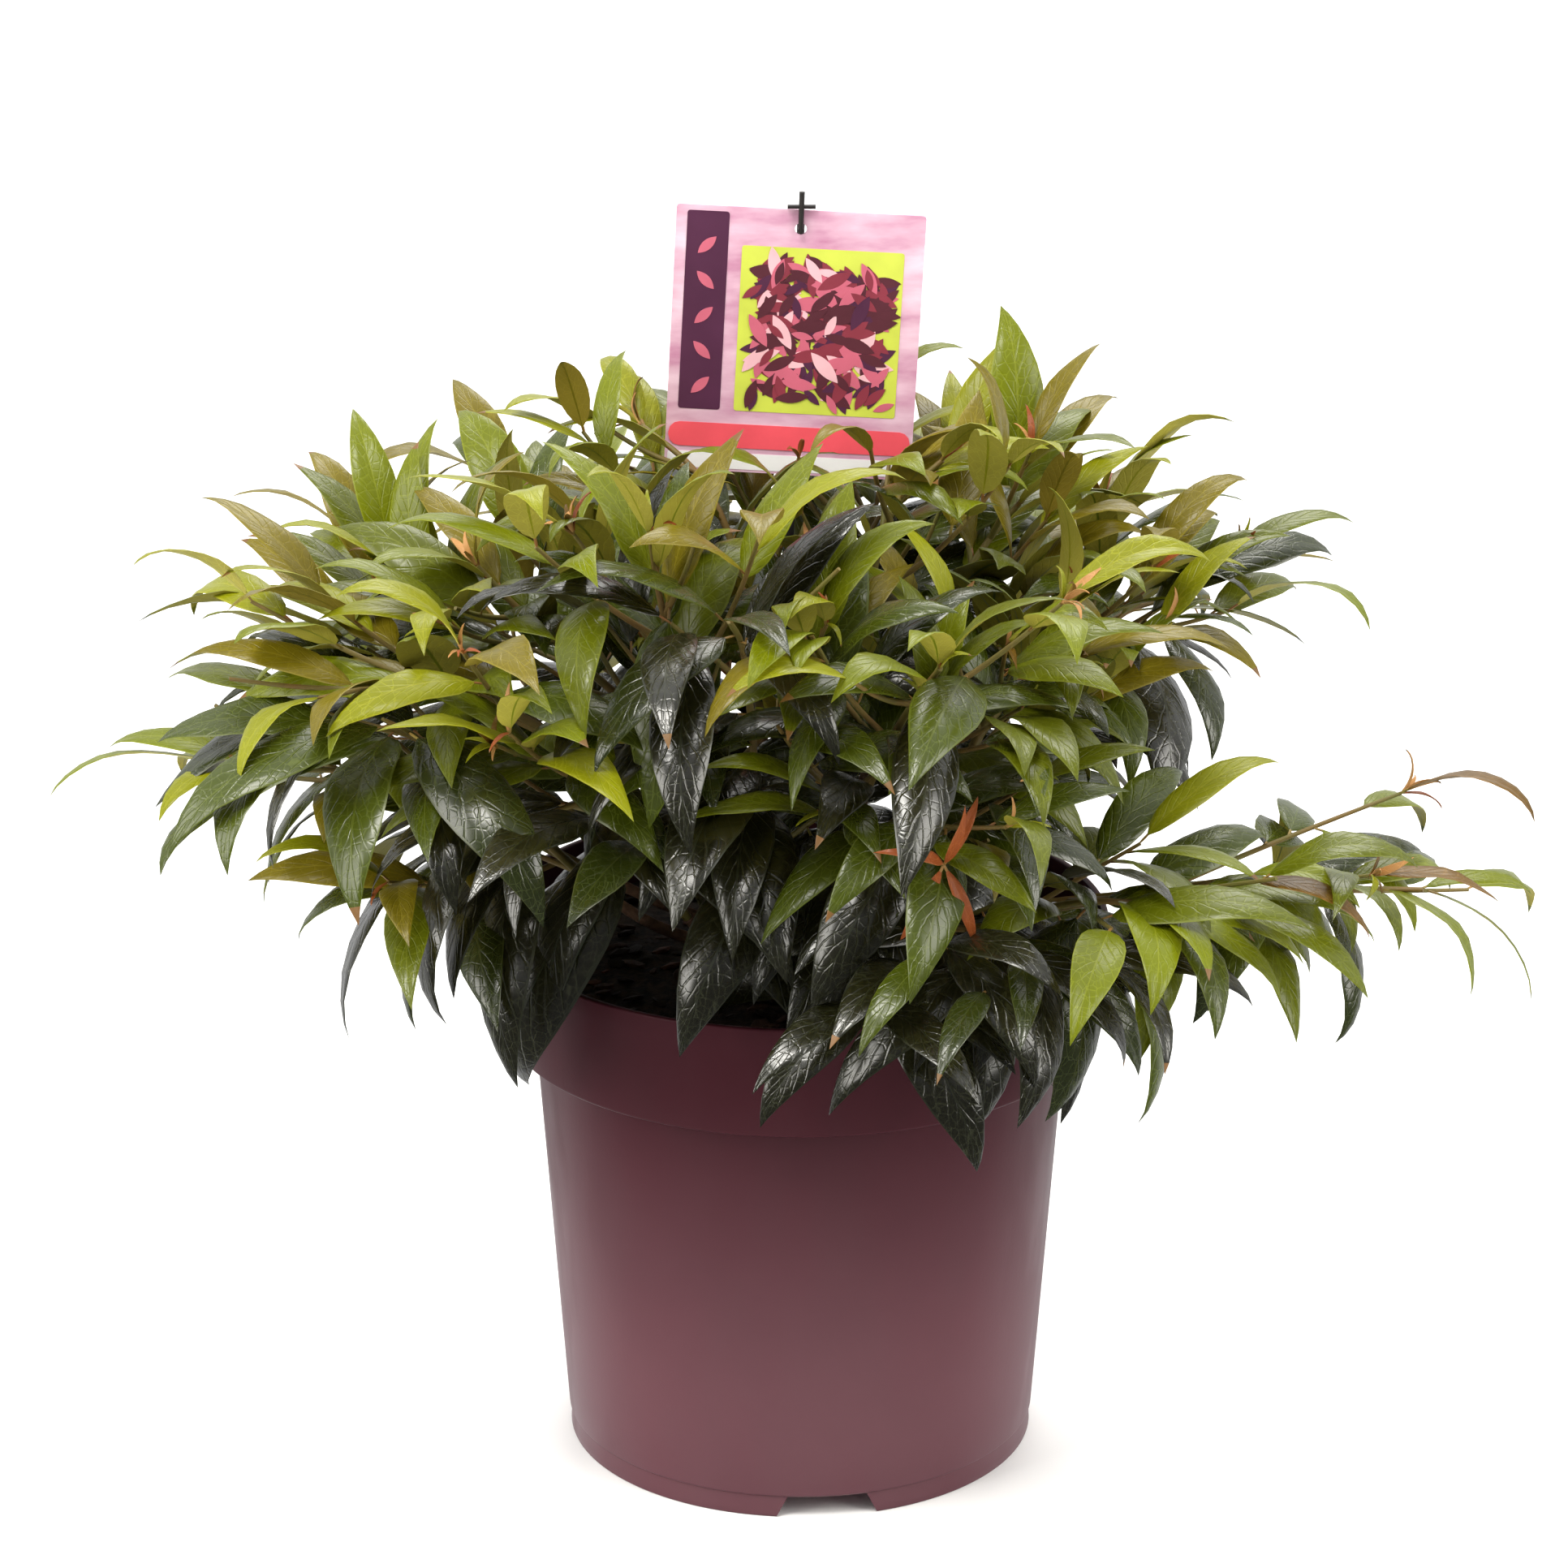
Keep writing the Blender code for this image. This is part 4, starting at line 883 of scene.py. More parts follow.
def twig_path(branch, stem, run, share, side, chance):
    """A twig that leaves the stem at a share of its length and turns on along it."""
    root, heading = place(stem, run, run[-1] * share)
    level = heading.cross(UP)
    if level.length < 0.2:
        level = Vector((1.0, 0.0, 0.0))
    level = square_to(level, heading) * side
    roll = TWIG_ROLL * (1.1 - 0.7 * branch.hang)
    level.rotate(Matrix.Rotation(math.radians(chance.uniform(-roll, roll)), 3, heading))
    spread = math.radians(chance.uniform(*TWIG_SPREAD))
    leave = (heading * math.cos(spread) + level * math.sin(spread)).normalized()
    length = run[-1] * TWIG_LENGTH * chance.uniform(0.85, 1.1) * (1.15 - 0.6 * share)
    on = (leave * 0.75 + heading * 0.35 + UP * (0.55 - 0.75 * branch.hang)).normalized()
    middle = root + leave * (length * 0.45)
    tip = middle + on * (length * 0.55)
    return bezier(root, root + leave * (length * 0.3), tip - on * (length * 0.3), tip, TWIG_POINTS)


def twigs_of(branch, stem, attempt):
    """The twigs of a mass, on alternate sides of its stem."""
    chance = random.Random(branch.seed + 1000 * attempt)
    run = lengths(stem)
    side = 1 if branch.seed % 2 else -1
    twigs = []
    for i in range(branch.twigs):
        share = TWIG_FIRST + (TWIG_LAST - TWIG_FIRST) * i / max(1, branch.twigs - 1)
        share += chance.uniform(-0.03, 0.03)
        twigs.append(twig_path(branch, stem, run, share, side, chance))
        side = -side
    return twigs


def side_of(heading, station, start, chance):
    """Where round the shoot a leaf stands: in two ranks on a level shoot, in a
    spiral on an upright one."""
    if abs(heading.z) > STEEP_SHOOT:
        across = square_to(Vector((1.0, 0.0, 0.0)), heading)
        turn = start + SPIRAL * station + chance.uniform(-15.0, 15.0)
    else:
        across = square_to(heading.cross(UP), heading)
        turn = (0.0 if station % 4 < 2 else 180.0) + chance.uniform(-32.0, 32.0)
    across.rotate(Matrix.Rotation(math.radians(turn), 3, heading))
    return across

# %% Growth: one leaf
def leaf_at(root, heading, share, side, branch, chance):
    """One leaf: old ones near the shoot's foot stand out and hang, young ones near
    its tip point forward and stay straighter."""
    age = 1.0 - share
    angle = math.radians(YOUNG_ANGLE + OLD_ANGLE_MORE * age + chance.uniform(-9.0, 9.0))
    out = (heading * math.cos(angle) + side * math.sin(angle)).normalized()
    sag = branch.hang * (0.25 + 0.75 * age) * chance.uniform(0.6, 1.1)
    out = (out + UP * (LEAF_LIFT * (1.0 - branch.hang) - LEAF_SAG * sag)).normalized()
    face = square_to(UP * 0.8 + heading * 0.45, out)
    length = branch.leaf * MM * (YOUNG_LENGTH + OLD_LENGTH_MORE * age)
    length *= chance.uniform(1.0 - SIZE_VARIETY, 1.0 + SIZE_VARIETY)
    width = length * LEAF_WIDTH * chance.uniform(1.0 - SIZE_VARIETY, 1.0 + SIZE_VARIETY)
    arch = LEAF_ARCH + HANGING_ARCH_MORE * branch.hang * age + chance.uniform(*ARCH_VARIETY)
    return Leaf(root, out, face, length, width, math.radians(arch))


def leaf_spot(leaf, t, across=0.0, lift=0.0):
    """A point of the arched leaf: t along it, across and lift in metres."""
    turn = leaf.bend * t
    radius = leaf.length / leaf.bend
    middle = leaf.root + leaf.heading * (radius * math.sin(turn))
    middle -= leaf.face * (radius * (1.0 - math.cos(turn)))
    face = leaf.face * math.cos(turn) + leaf.heading * math.sin(turn)
    side = leaf.heading.cross(leaf.face)
    return middle + side * across + face * lift


def leaf_corners(leaf):
    """The root, sunk in the twig, four corners round the widest place, and the tip."""
    half = leaf.width / 2
    cup = leaf.width * LEAF_CUP
    return [
        leaf.root - leaf.heading * LEAF_SINK,
        leaf_spot(leaf, LEAF_WIDEST, -half, -cup),
        leaf_spot(leaf, LEAF_WIDEST, half, -cup),
        leaf_spot(leaf, LEAF_WIDEST, 0.0, LEAF_HALF_THICKNESS),
        leaf_spot(leaf, LEAF_WIDEST, 0.0, -LEAF_HALF_THICKNESS),
        leaf_spot(leaf, 1.0),
    ]


LEAF_FACES = [
    (0, 1, 3),
    (0, 3, 2),
    (0, 4, 1),
    (0, 2, 4),
    (5, 3, 1),
    (5, 2, 3),
    (5, 1, 4),
    (5, 4, 2),
]


def samples_of(corners):
    """Points spread over a leaf's solid, to test the space it takes."""
    root, left, right, top, _, tip = corners
    across = [left, (left + top) / 2, top, (right + top) / 2, right]
    found = [root.lerp(spot, share) for share in (0.3, 0.5, 0.7, 0.85, 1.0) for spot in across]
    found += [spot.lerp(tip, share) for share in (0.15, 0.3, 0.45, 0.6, 0.8) for spot in across]
    return found + [tip]

# %% Growth: what has grown so far
class Shapes:
    """Closed shapes that have grown so far, and who owns each of their faces."""

    def __init__(self):
        self.corners = []
        self.faces = []
        self.owners = []
        self.tree = None

    def add(self, corners, faces, owner):
        first = len(self.corners)
        self.corners += corners
        self.faces += [tuple(first + i for i in face) for face in faces]
        self.owners += [owner] * len(faces)
        self.tree = BVHTree.FromPolygons(self.corners, self.faces)

    def crossed_by(self, corners, faces):
        """The owners whose surface this shape would cut through."""
        if self.tree is None:
            return set()
        pairs = BVHTree.FromPolygons(corners, faces).overlap(self.tree)
        return {self.owners[face] for _, face in pairs}

    def near(self, points, gap):
        return self.tree is not None and any(
            self.tree.find_nearest(point, gap)[0] is not None for point in points
        )

# %% Growth: the crown
def card_point(right, up):
    """A point of the leaning card, from its centre."""
    lean = math.radians(CARD_LEAN)
    across = Vector((math.cos(lean), 0.0, -math.sin(lean)))
    rise = Vector((math.sin(lean), 0.0, math.cos(lean)))
    return CARD_CENTRE + across * right + rise * up


def hole_middle():
    return card_point(0.0, CARD_HEIGHT / 2 - CARD_HOLE_BELOW_TOP)


def stake_line():
    """Foot and top of the stake's rod."""
    back = CARD_THICKNESS / 2 + CLEARANCE + STAKE_RADIUS
    top = hole_middle() + Vector((0.0, back, 0.0))
    lean = math.tan(math.radians(STAKE_LEAN))
    foot_height = MIX_TOP + CLEARANCE
    foot = Vector((top.x - lean * (top.z - foot_height), top.y, foot_height))
    return foot, top


class Crown:
    """What has grown so far, and which space is still free for each mass."""

    def __init__(self):
        self.shoots = {}
        self.leaves = {}
        self.ages = {}
        self.limb_shapes = Shapes()
        self.leaf_shapes = Shapes()
        sites = []
        owners = []
        for name, branch in BRANCHES.items():
            bough, stem = split_branch(branch)
            self.shoots[name] = [stem]
            self.leaves[name] = []
            self.ages[name] = []
            self.add_limb(bough, BOUGH_ROOT_RADIUS, (name, -1))
            self.add_limb(stem, BOUGH_TIP_RADIUS, (name, 0))
            line = stretch(stem, 0.0, lengths(stem)[-1] + 12 * MM, 14)
            sites += [tuple(point) for point in line]
            owners += [name] * len(line)
        self.add_limb(stake_line(), STAKE_RADIUS, ("label", 0))
        self.sites = np.array(sites)
        self.owners = np.array(owners)
        card = Matrix.Translation(CARD_CENTRE) @ Matrix.Rotation(math.radians(CARD_LEAN), 4, "Y")
        self.to_card = np.array(card.inverted())

    def add_limb(self, path, radius, owner):
        """Notes a limb, with the air that the rest keeps round it."""
        self.limb_shapes.add(*tube_shape(path, [radius + LIMB_GAP] * len(path), 6), owner)

    def own(self, points, name):
        """True where the mass's own stem is the nearest, or nearly so."""
        apart = np.linalg.norm(points[:, None, :] - self.sites[None, :, :], axis=2)
        mine = self.owners == name
        return (apart[:, mine].min(axis=1) < apart[:, ~mine].min(axis=1) + FRINGE).all()

    def clear_of_pot(self, points):
        out = np.linalg.norm(points[:, :2], axis=1)
        height = points[:, 2]
        inside = (out < POT_RADIUS - RIM_AIR) & (height > MIX_TOP + MIX_AIR)
        over = height > POT_HEIGHT + POT_GAP
        outside = (out > POT_RADIUS + POT_GAP) & (height > FLOOR_AIR)
        dome = (out < CROWN_FOOT_RADIUS + POT_GAP) & (height < MIX_TOP + CROWN_AIR)
        return ((inside | over | outside) & ~dome).all()

    def clear_of_card(self, points):
        local = points @ self.to_card[:3, :3].T + self.to_card[:3, 3]
        near_x = abs(local[:, 0]) < CARD_WIDTH / 2 + CARD_AIR[0]
        near_y = abs(local[:, 1]) < CARD_AIR[1]
        near_z = abs(local[:, 2]) < CARD_HEIGHT / 2 + CARD_AIR[2]
        hiding = local[:, 2] + CARD_SIGHT * local[:, 1] > CARD_BARE - CARD_HEIGHT / 2
        before = (local[:, 1] < 0) & hiding
        return not (near_x & (near_y & near_z | before)).any()

    def has_room(self, points, name):
        spots = np.array([tuple(point) for point in points])
        return self.own(spots, name) and self.clear_of_pot(spots) and self.clear_of_card(spots)

    def add_twig(self, name, twig):
        """Grows the twig as far as there is room, and says if it grew at all."""
        whole = lengths(twig)[-1]
        for share in TWIG_CUTS:
            shorter = stretch(twig, 0.0, whole * share, TWIG_POINTS)
            shape = tube_shape(shorter, [TWIG_ROOT_RADIUS + LIMB_GAP] * TWIG_POINTS, 6)
            if not self.has_room(stretch(twig, 0.0, whole * share, 12), name):
                continue
            if self.limb_shapes.crossed_by(*shape) - {(name, 0)}:
                continue
            if self.leaf_shapes.crossed_by(*shape) - {name}:
                continue
            self.add_limb(shorter, TWIG_ROOT_RADIUS, (name, len(self.shoots[name])))
            self.shoots[name].append(shorter)
            return True
        return False

    def add_leaf(self, name, number, leaf):
        """Adds the leaf if its solid has room, and says if it did."""
        corners = leaf_corners(leaf)
        points = samples_of(corners)
        if not self.has_room(points, name) or self.leaf_shapes.near(points, LEAF_GAP):
            return False
        if self.limb_shapes.crossed_by(corners, LEAF_FACES) - {(name, number)}:
            return False
        if self.leaf_shapes.crossed_by(corners, LEAF_FACES):
            return False
        self.leaf_shapes.add(corners, LEAF_FACES, name)
        self.leaves[name].append(leaf)
        return True

    def leaf_shoot(self, name, number, step, skip=0):
        """Sets leaves along a shoot from its tip down, turning each until it has room."""
        branch = BRANCHES[name]
        shoot = self.shoots[name][number]
        run = lengths(shoot)
        first = (FIRST_ON_TWIG if number else FIRST_ON_STEM) * run[-1]
        last = 2 * max(2, round((run[-1] - first) / STATION_SPACING / 2))
        start = 360.0 * random.Random(branch.seed * 31 + number).random()
        for station in range(last - skip, -1, -step):
            share = (station / last) ** STATION_CROWDING
            root, heading = place(shoot, run, first + (run[-1] - first) * share * LAST_STATION)
            for attempt in range(LEAF_TRIES):
                chance = random.Random(branch.seed * 10007 + number * 1009 + station * 11 + attempt)
                side = side_of(heading, station, start + 50.0 * attempt, chance)
                if self.add_leaf(name, number, leaf_at(root, heading, share, side, branch, chance)):
                    self.ages[name].append(1.0 - share)
                    break

    def grow(self):
        """All stems get their leaves first, and then twig after twig."""
        for name in BRANCHES:
            self.leaf_shoot(name, 0, STATION_STEP)
        for order in range(max(branch.twigs for branch in BRANCHES.values())):
            for name, branch in BRANCHES.items():
                if order < branch.twigs:
                    self.grow_twig(name, order)

    def grow_twig(self, name, order):
        for attempt in range(TWIG_TRIES):
            twigs = twigs_of(BRANCHES[name], self.shoots[name][0], attempt)
            if self.add_twig(name, twigs[order]):
                self.leaf_shoot(name, len(self.shoots[name]) - 1, STATION_STEP)
                return

# %% [markdown]
# ## Filling in
#
# The solids hold every second leaf. The real plant is denser: leaves stand at every
# station, and shorter twigs leave the stems between the ones that the solids have.
# They grow by the same rule and pass the same tests, so nothing new crosses what is
# there, and nothing reaches beyond the box that the solids fill.

# %% Growth: run it
FINER_TWIGS = 4
FINER_TWIGS_LONG = 2
CROWN_MIDDLE = Vector((0.0, 0.0, 270.0)) * MM
CROWN_HALVES = Vector((235.0, 195.0, 155.0)) * MM
FILL_LIMIT = 0.84
FILL_DRIFT = 0.22
SIGHT_SLOPE = 0.369
WINDOW_SIDES = (-80.0 * MM, -30.0 * MM)
WINDOW_HEIGHTS = (-8.0 * MM, 26.0 * MM)
INNER_LEAVES = 5
INNER_AGE = 1.1
TUFT_SHARE = 0.55
TUFTLESS_HANG = 0.7
YOUNG_WIDTH = 0.18
NEWEST_AGE = -0.1
COPPER_AGE = -0.2
BUD_SPREAD = (8.0, 48.0)
BUD_SIZES = (9.0, 20.0)
BUD_LEAVES = (3, 7)
COPPER_BRANCH = "front_copper"
COPPER_PLACE = Vector((49.0, -146.0, 277.0)) * MM
COPPER_SPREAD = (52.0, 88.0)
COPPER_SIZES = (27.0, 34.0)
COPPER_LEAVES = 6
COPPER_RISE = 32.0 * MM
HANGING_BRANCH = "left_droop"
HANGING_PLACE = Vector((-106.0, -95.0, 246.0)) * MM
HANGING_RISE = 26.0 * MM
HANGING_LEAVES = 7
NEAR_SHARES = (0.2, 0.35, 0.5, 0.65, 0.8)
SHOOT_TRIES = 60
FINER_SEED = 500
BOX_MARGIN = 1.0 * MM


def young_leaf(root, heading, k, chance, spread, sizes):
    """A leaf that has just opened, small and slim, at an angle to the shoot's line."""
    across = square_to(UP + Vector((0.3, 0.2, 0.0)), heading)
    across.rotate(Matrix.Rotation(math.radians(SPIRAL * k + chance.uniform(0.0, 40.0)), 3, heading))
    angle = math.radians(chance.uniform(*spread))
    out = (heading * math.cos(angle) + across * math.sin(angle)).normalized()
    length = chance.uniform(*sizes) * MM
    face = square_to(UP * 0.5 + heading * 0.6 - across * 0.4, out)
    return Leaf(root, out, face, length, length * YOUNG_WIDTH, math.radians(chance.uniform(15.0, 60.0)))


class FullCrown(Crown):
    """The crown with its finer twigs and the leaves between the solids' leaves."""

    def __init__(self):
        super().__init__()
        self.young = {name: [] for name in BRANCHES}
        self.filling = False

    def has_room(self, points, name):
        spots = np.array([tuple(point) for point in points])
        low, high = np.array(cad_box)
        inside = (spots > low - BOX_MARGIN).all() and (spots < high + BOX_MARGIN).all()
        return inside and self.leaves_window(spots) and super().has_room(points, name)

    def leaves_window(self, spots):
        """True where the mix can still be seen from the front, left of the middle."""
        if not self.filling:
            return True
        x, y, z = spots.T
        over = z - MIX_TOP + SIGHT_SLOPE * y
        wide = (x > WINDOW_SIDES[0]) & (x < WINDOW_SIDES[1]) & (y < 0.0)
        return not (wide & (over > WINDOW_HEIGHTS[0]) & (over < WINDOW_HEIGHTS[1])).any()

    def add_leaf(self, name, number, leaf):
        """Leaves that fill in stay off the outermost ends, where single ones stand out."""
        if self.filling:
            away = leaf.root - CROWN_MIDDLE
            out = Vector([value / half for value, half in zip(away, CROWN_HALVES)]).length
            if out + FILL_DRIFT * noise.noise(leaf.root * 90.0) > FILL_LIMIT:
                return False
        return super().add_leaf(name, number, leaf)

    def fill_in(self):
        self.add_copper_shoot()
        self.add_hanging_shoot()
        self.filling = True
        for name in BRANCHES:
            for number in range(len(self.shoots[name])):
                self.leaf_shoot(name, number, STATION_STEP, skip=1)
        for name in BRANCHES:
            self.leaf_bough(name)
        for order in range(FINER_TWIGS):
            for name, branch in BRANCHES.items():
                if name != "long_right" or order < FINER_TWIGS_LONG:
                    self.add_finer_twig(name, branch, order)
        self.add_tufts()

    def leaf_bough(self, name):
        """Old leaves on the outer part of a bough, which fill the crown's heart."""
        bough = split_branch(BRANCHES[name])[0]
        run = lengths(bough)
        for station in range(INNER_LEAVES):
            share = 0.30 + 0.66 * station / INNER_LEAVES
            root, heading = place(bough, run, run[-1] * share)
            for attempt in range(LEAF_TRIES):
                chance = random.Random(BRANCHES[name].seed * 313 + station * 17 + attempt)
                side = side_of(heading, station, 70.0 * attempt, chance)
                if self.add_leaf(name, -1, leaf_at(root, heading, 0.0, side, BRANCHES[name], chance)):
                    self.ages[name].append(INNER_AGE)
                    break

    def add_shoot_at(self, name, tip_place, rise, chance):
        """One more twig from a branch, whose tip stands at or near a given place."""
        lines = self.shoots[name]
        near = [place(line, lengths(line), lengths(line)[-1] * share) for line in lines for share in NEAR_SHARES]
        for attempt in range(SHOOT_TRIES):
            tip = tip_place + Vector([chance.uniform(-0.5, 0.5) * attempt * MM for _ in range(3)])
            root, heading = min(near, key=lambda spot: abs((spot[0] - tip).length - rise))
            reach = (tip - root).length
            twig = bezier(root, root + heading * (0.3 * reach), tip - UP * (0.3 * reach), tip, TWIG_POINTS)
            if self.add_twig(name, twig):
                return True
        return False

    def add_copper_shoot(self):
        """One new shoot in front whose first leaves are copper red and spread wide."""
        chance = random.Random(FINER_SEED)
        self.add_shoot_at(COPPER_BRANCH, COPPER_PLACE, COPPER_RISE, chance)
        self.add_young(COPPER_BRANCH, COPPER_LEAVES, COPPER_SPREAD, COPPER_SIZES, COPPER_AGE, chance)

    def add_hanging_shoot(self):
        """One low shoot at the left of the pot's rim, with the largest old leaves."""
        chance = random.Random(FINER_SEED + 1)
        name = HANGING_BRANCH
        found = self.add_shoot_at(name, HANGING_PLACE, HANGING_RISE, chance)
        number = len(self.shoots[name]) - 1
        shoot = self.shoots[name][number]
        heading = Vector((shoot[-1].x, shoot[-1].y, 0.0)).normalized()
        added = 0
        for k in range(HANGING_LEAVES):
            share = 1.0 - 0.5 * k / HANGING_LEAVES
            root = place(shoot, lengths(shoot), lengths(shoot)[-1] * share)[0]
            for attempt in range(LEAF_TRIES):
                side = side_of(heading, 2 * k, 40.0 * attempt, chance)
                if self.add_leaf(name, number, leaf_at(root, heading, 0.0, side, BRANCHES[name], chance)):
                    self.ages[name].append(1.0)
                    added += 1
                    break
        print("hanging shoot", found, added, [tuple(round(v * 1000) for v in p) for p in shoot])

    def add_young(self, name, count, spread, sizes, age, chance, number=-1):
        """New leaves round the tip of a shoot, as many as have room."""
        shoot = self.shoots[name][number]
        heading = (shoot[-1] - shoot[-2]).normalized()
        for k in range(count):
            leaf = young_leaf(shoot[-1], heading, k, chance, spread, sizes)
            corners = leaf_corners(leaf)
            blocked = self.leaf_shapes.crossed_by(corners, LEAF_FACES)
            if self.has_room(samples_of(corners), name) and not blocked:
                self.young[name].append((leaf, age))

    def add_tufts(self):
        """The newest leaves, small and coloured, at the tips of shoots."""
        for name, branch in BRANCHES.items():
            for number, shoot in enumerate(self.shoots[name]):
                chance = random.Random(branch.seed * 41 + number)
                rises = shoot[-1].z > shoot[0].z and branch.hang < TUFTLESS_HANG
                if rises and chance.random() < TUFT_SHARE:
                    count = chance.randint(*BUD_LEAVES)
                    self.add_young(name, count, BUD_SPREAD, BUD_SIZES, NEWEST_AGE, chance, number)

    def add_finer_twig(self, name, branch, order):
        stem = self.shoots[name][0]
        run = lengths(stem)
        for attempt in range(TWIG_TRIES):
            chance = random.Random(branch.seed + FINER_SEED + 31 * order + 7 * attempt)
            share = chance.uniform(0.05, 0.8)
            side = chance.choice((-1, 1))
            twig = twig_path(branch, stem, run, share, side, chance)
            whole = lengths(twig)[-1]
            if self.add_twig(name, stretch(twig, 0.0, whole * 0.8, TWIG_POINTS)):
                self.leaf_shoot(name, len(self.shoots[name]) - 1, 1)
                return


crown = FullCrown()
crown.grow()
solid_count = sum(len(found) for found in crown.leaves.values())
crown.fill_in()
full_count = sum(len(found) for found in crown.leaves.values())
print(f"{solid_count} leaves as in the solids, {full_count} in all")

# %% [markdown]
# ## Limbs
#
# The limbs could be tubes from a list of rings, but a curve object with a bevel does
# that by itself: one spline for each limb, its thickness in the points' radius. The
# curve becomes a mesh, its caps are welded, and noise along the bark raises the fine
# ridges that old stems have.

# %% Limbs: curve to mesh
SMOOTH_STEPS = 4


def smooth_path(points):
    """A rounder path through the same points."""
    ends = [points[0] * 2 - points[1], *points, points[-1] * 2 - points[-2]]
    found = []
    for i in range(1, len(ends) - 2):
        a, b, c, d = ends[i - 1 : i + 3]
        for k in range(SMOOTH_STEPS):
            t = k / SMOOTH_STEPS
            found.append(
                0.5 * (b * 2 + (c - a) * t + (a * 2 - b * 5 + c * 4 - d) * t**2 + (b * 3 - a - c * 3 + d) * t**3)
            )
    return found + [points[-1]]


def limb_mesh(name, limbs, resolution):
    """One mesh of tapering limbs, each given as its points and its end radii."""
    curve = bpy.data.curves.new(name, "CURVE")
    curve.dimensions = "3D"
    curve.bevel_depth = 1.0
    curve.bevel_resolution = resolution
    curve.use_fill_caps = True
    for points, first, last in limbs:
        path = smooth_path(points)
        spline = curve.splines.new("POLY")
        spline.points.add(len(path) - 1)
        for i, (spot, point) in enumerate(zip(path, spline.points)):
            point.co = (*spot, 1.0)
            point.radius = first + (last - first) * i / (len(path) - 1)
    helper = bpy.data.objects.new(name, curve)
    bpy.context.scene.collection.objects.link(helper)
    graph = bpy.context.evaluated_depsgraph_get()
    bm = bmesh.new()
    bm.from_mesh(bpy.data.meshes.new_from_object(helper.evaluated_get(graph)))
    bpy.data.objects.remove(helper)
    bmesh.ops.remove_doubles(bm, verts=bm.verts, dist=0.005 * MM)
    bmesh.ops.recalc_face_normals(bm, faces=bm.faces)
    return bm


def raise_bark(bm, height, scale):
    """Pushes the surface out along its normals by ridged noise."""
    for vert in bm.verts:
        ridge = 1.0 - abs(noise.noise(vert.co * scale))
        vert.co += vert.normal * (height * (ridge - 0.6))


# %% Limbs: bark
old_bark = new_material("old_bark", (0.16, 0.085, 0.050), 0.75, 0.3)
finish_with(old_bark, (0.085, 0.046, 0.028), (0.235, 0.130, 0.075), 180.0, 0.0005, 1200.0, 0.2)
green_bark = new_material("green_bark", (0.17, 0.15, 0.035), 0.5, 0.4)
finish_with(green_bark, (0.190, 0.100, 0.032), (0.120, 0.130, 0.026), 45.0, 0.0001, 1500.0, 0.25)

for name, branch in BRANCHES.items():
    bough, stem = split_branch(branch)
    bark_bm = limb_mesh("bark", [(bough, BOUGH_ROOT_RADIUS, BOUGH_TIP_RADIUS)], 4)
    raise_bark(bark_bm, 0.30 * MM, 420.0)
    add_piece(f"bark_{name}", mesh_from(f"bark_{name}", bark_bm, 60.0), [old_bark], [f"bough_{name}"])
    stem, *twigs = crown.shoots[name]
    limbs = [(stem, BOUGH_TIP_RADIUS, SHOOT_TIP_RADIUS)]
    limbs += [(twig, TWIG_ROOT_RADIUS * 0.8, SHOOT_TIP_RADIUS * 0.7) for twig in twigs]
    twig_bm = limb_mesh("twigs", limbs, 2)
    add_piece(f"twigs_{name}", mesh_from(f"twigs_{name}", twig_bm, 60.0), [green_bark], [f"mass_{name}"])

# %% Limbs: the woody crown at the soil
crown_foot = MIX_TOP + CLEARANCE
crown_profile = [(0.0, crown_foot), (CROWN_FOOT_RADIUS, crown_foot), (CROWN_RADIUS + 1.6 * MM, crown_foot + 2.6 * MM)]
dome_low = crown_foot + CROWN_WAIST
for i in range(13):
    up = math.radians(90.0 * i / 12)
    crown_profile.append((CROWN_RADIUS * math.cos(up), dome_low + CROWN_DOME_HEIGHT * math.sin(up)))
crown_profile[-1] = (0.0, dome_low + CROWN_DOME_HEIGHT)
crown_bm = spun(crown_profile, 72)
raise_bark(crown_bm, 1.2 * MM, 160.0)
add_piece("bark_crown", mesh_from("bark_crown", crown_bm, 60.0), [old_bark], ["root_crown"])

# %% [markdown]
# ## Leaves
#
# A leaf is a lance-shaped blade with a long point. It is folded a little along its
# midrib, its edges curl under, and the whole of it arches over. One pattern leaf is
# drawn flat, as two grids that share their outline: the upper face, and a coarser
# lower face. Arrays of numbers then bend a copy of the pattern for every leaf, and
# the copies of one branch make one mesh. The colours have their places, so they are
# separate materials: blade, midrib, underside and stalk.

# %% Leaves: the pattern
STALK_END = 0.075
ROWS = [0.0, 0.03, STALK_END, 0.13, 0.21, 0.31, 0.42, 0.53, 0.64, 0.75, 0.85, 0.93, 1.0]
UPPER_COLUMNS = [-1.0, -0.94, -0.50, -0.035, 0.035, 0.50, 0.94, 1.0]
LOWER_COLUMNS = [-1.0, -0.06, 0.06, 1.0]
TIP_START = 0.93
RIB_EDGE = 0.05
MARGIN_EDGE = 0.94
STALK, UPPER, UPPER_RIB, LOWER, LOWER_RIB, TIP = range(6)


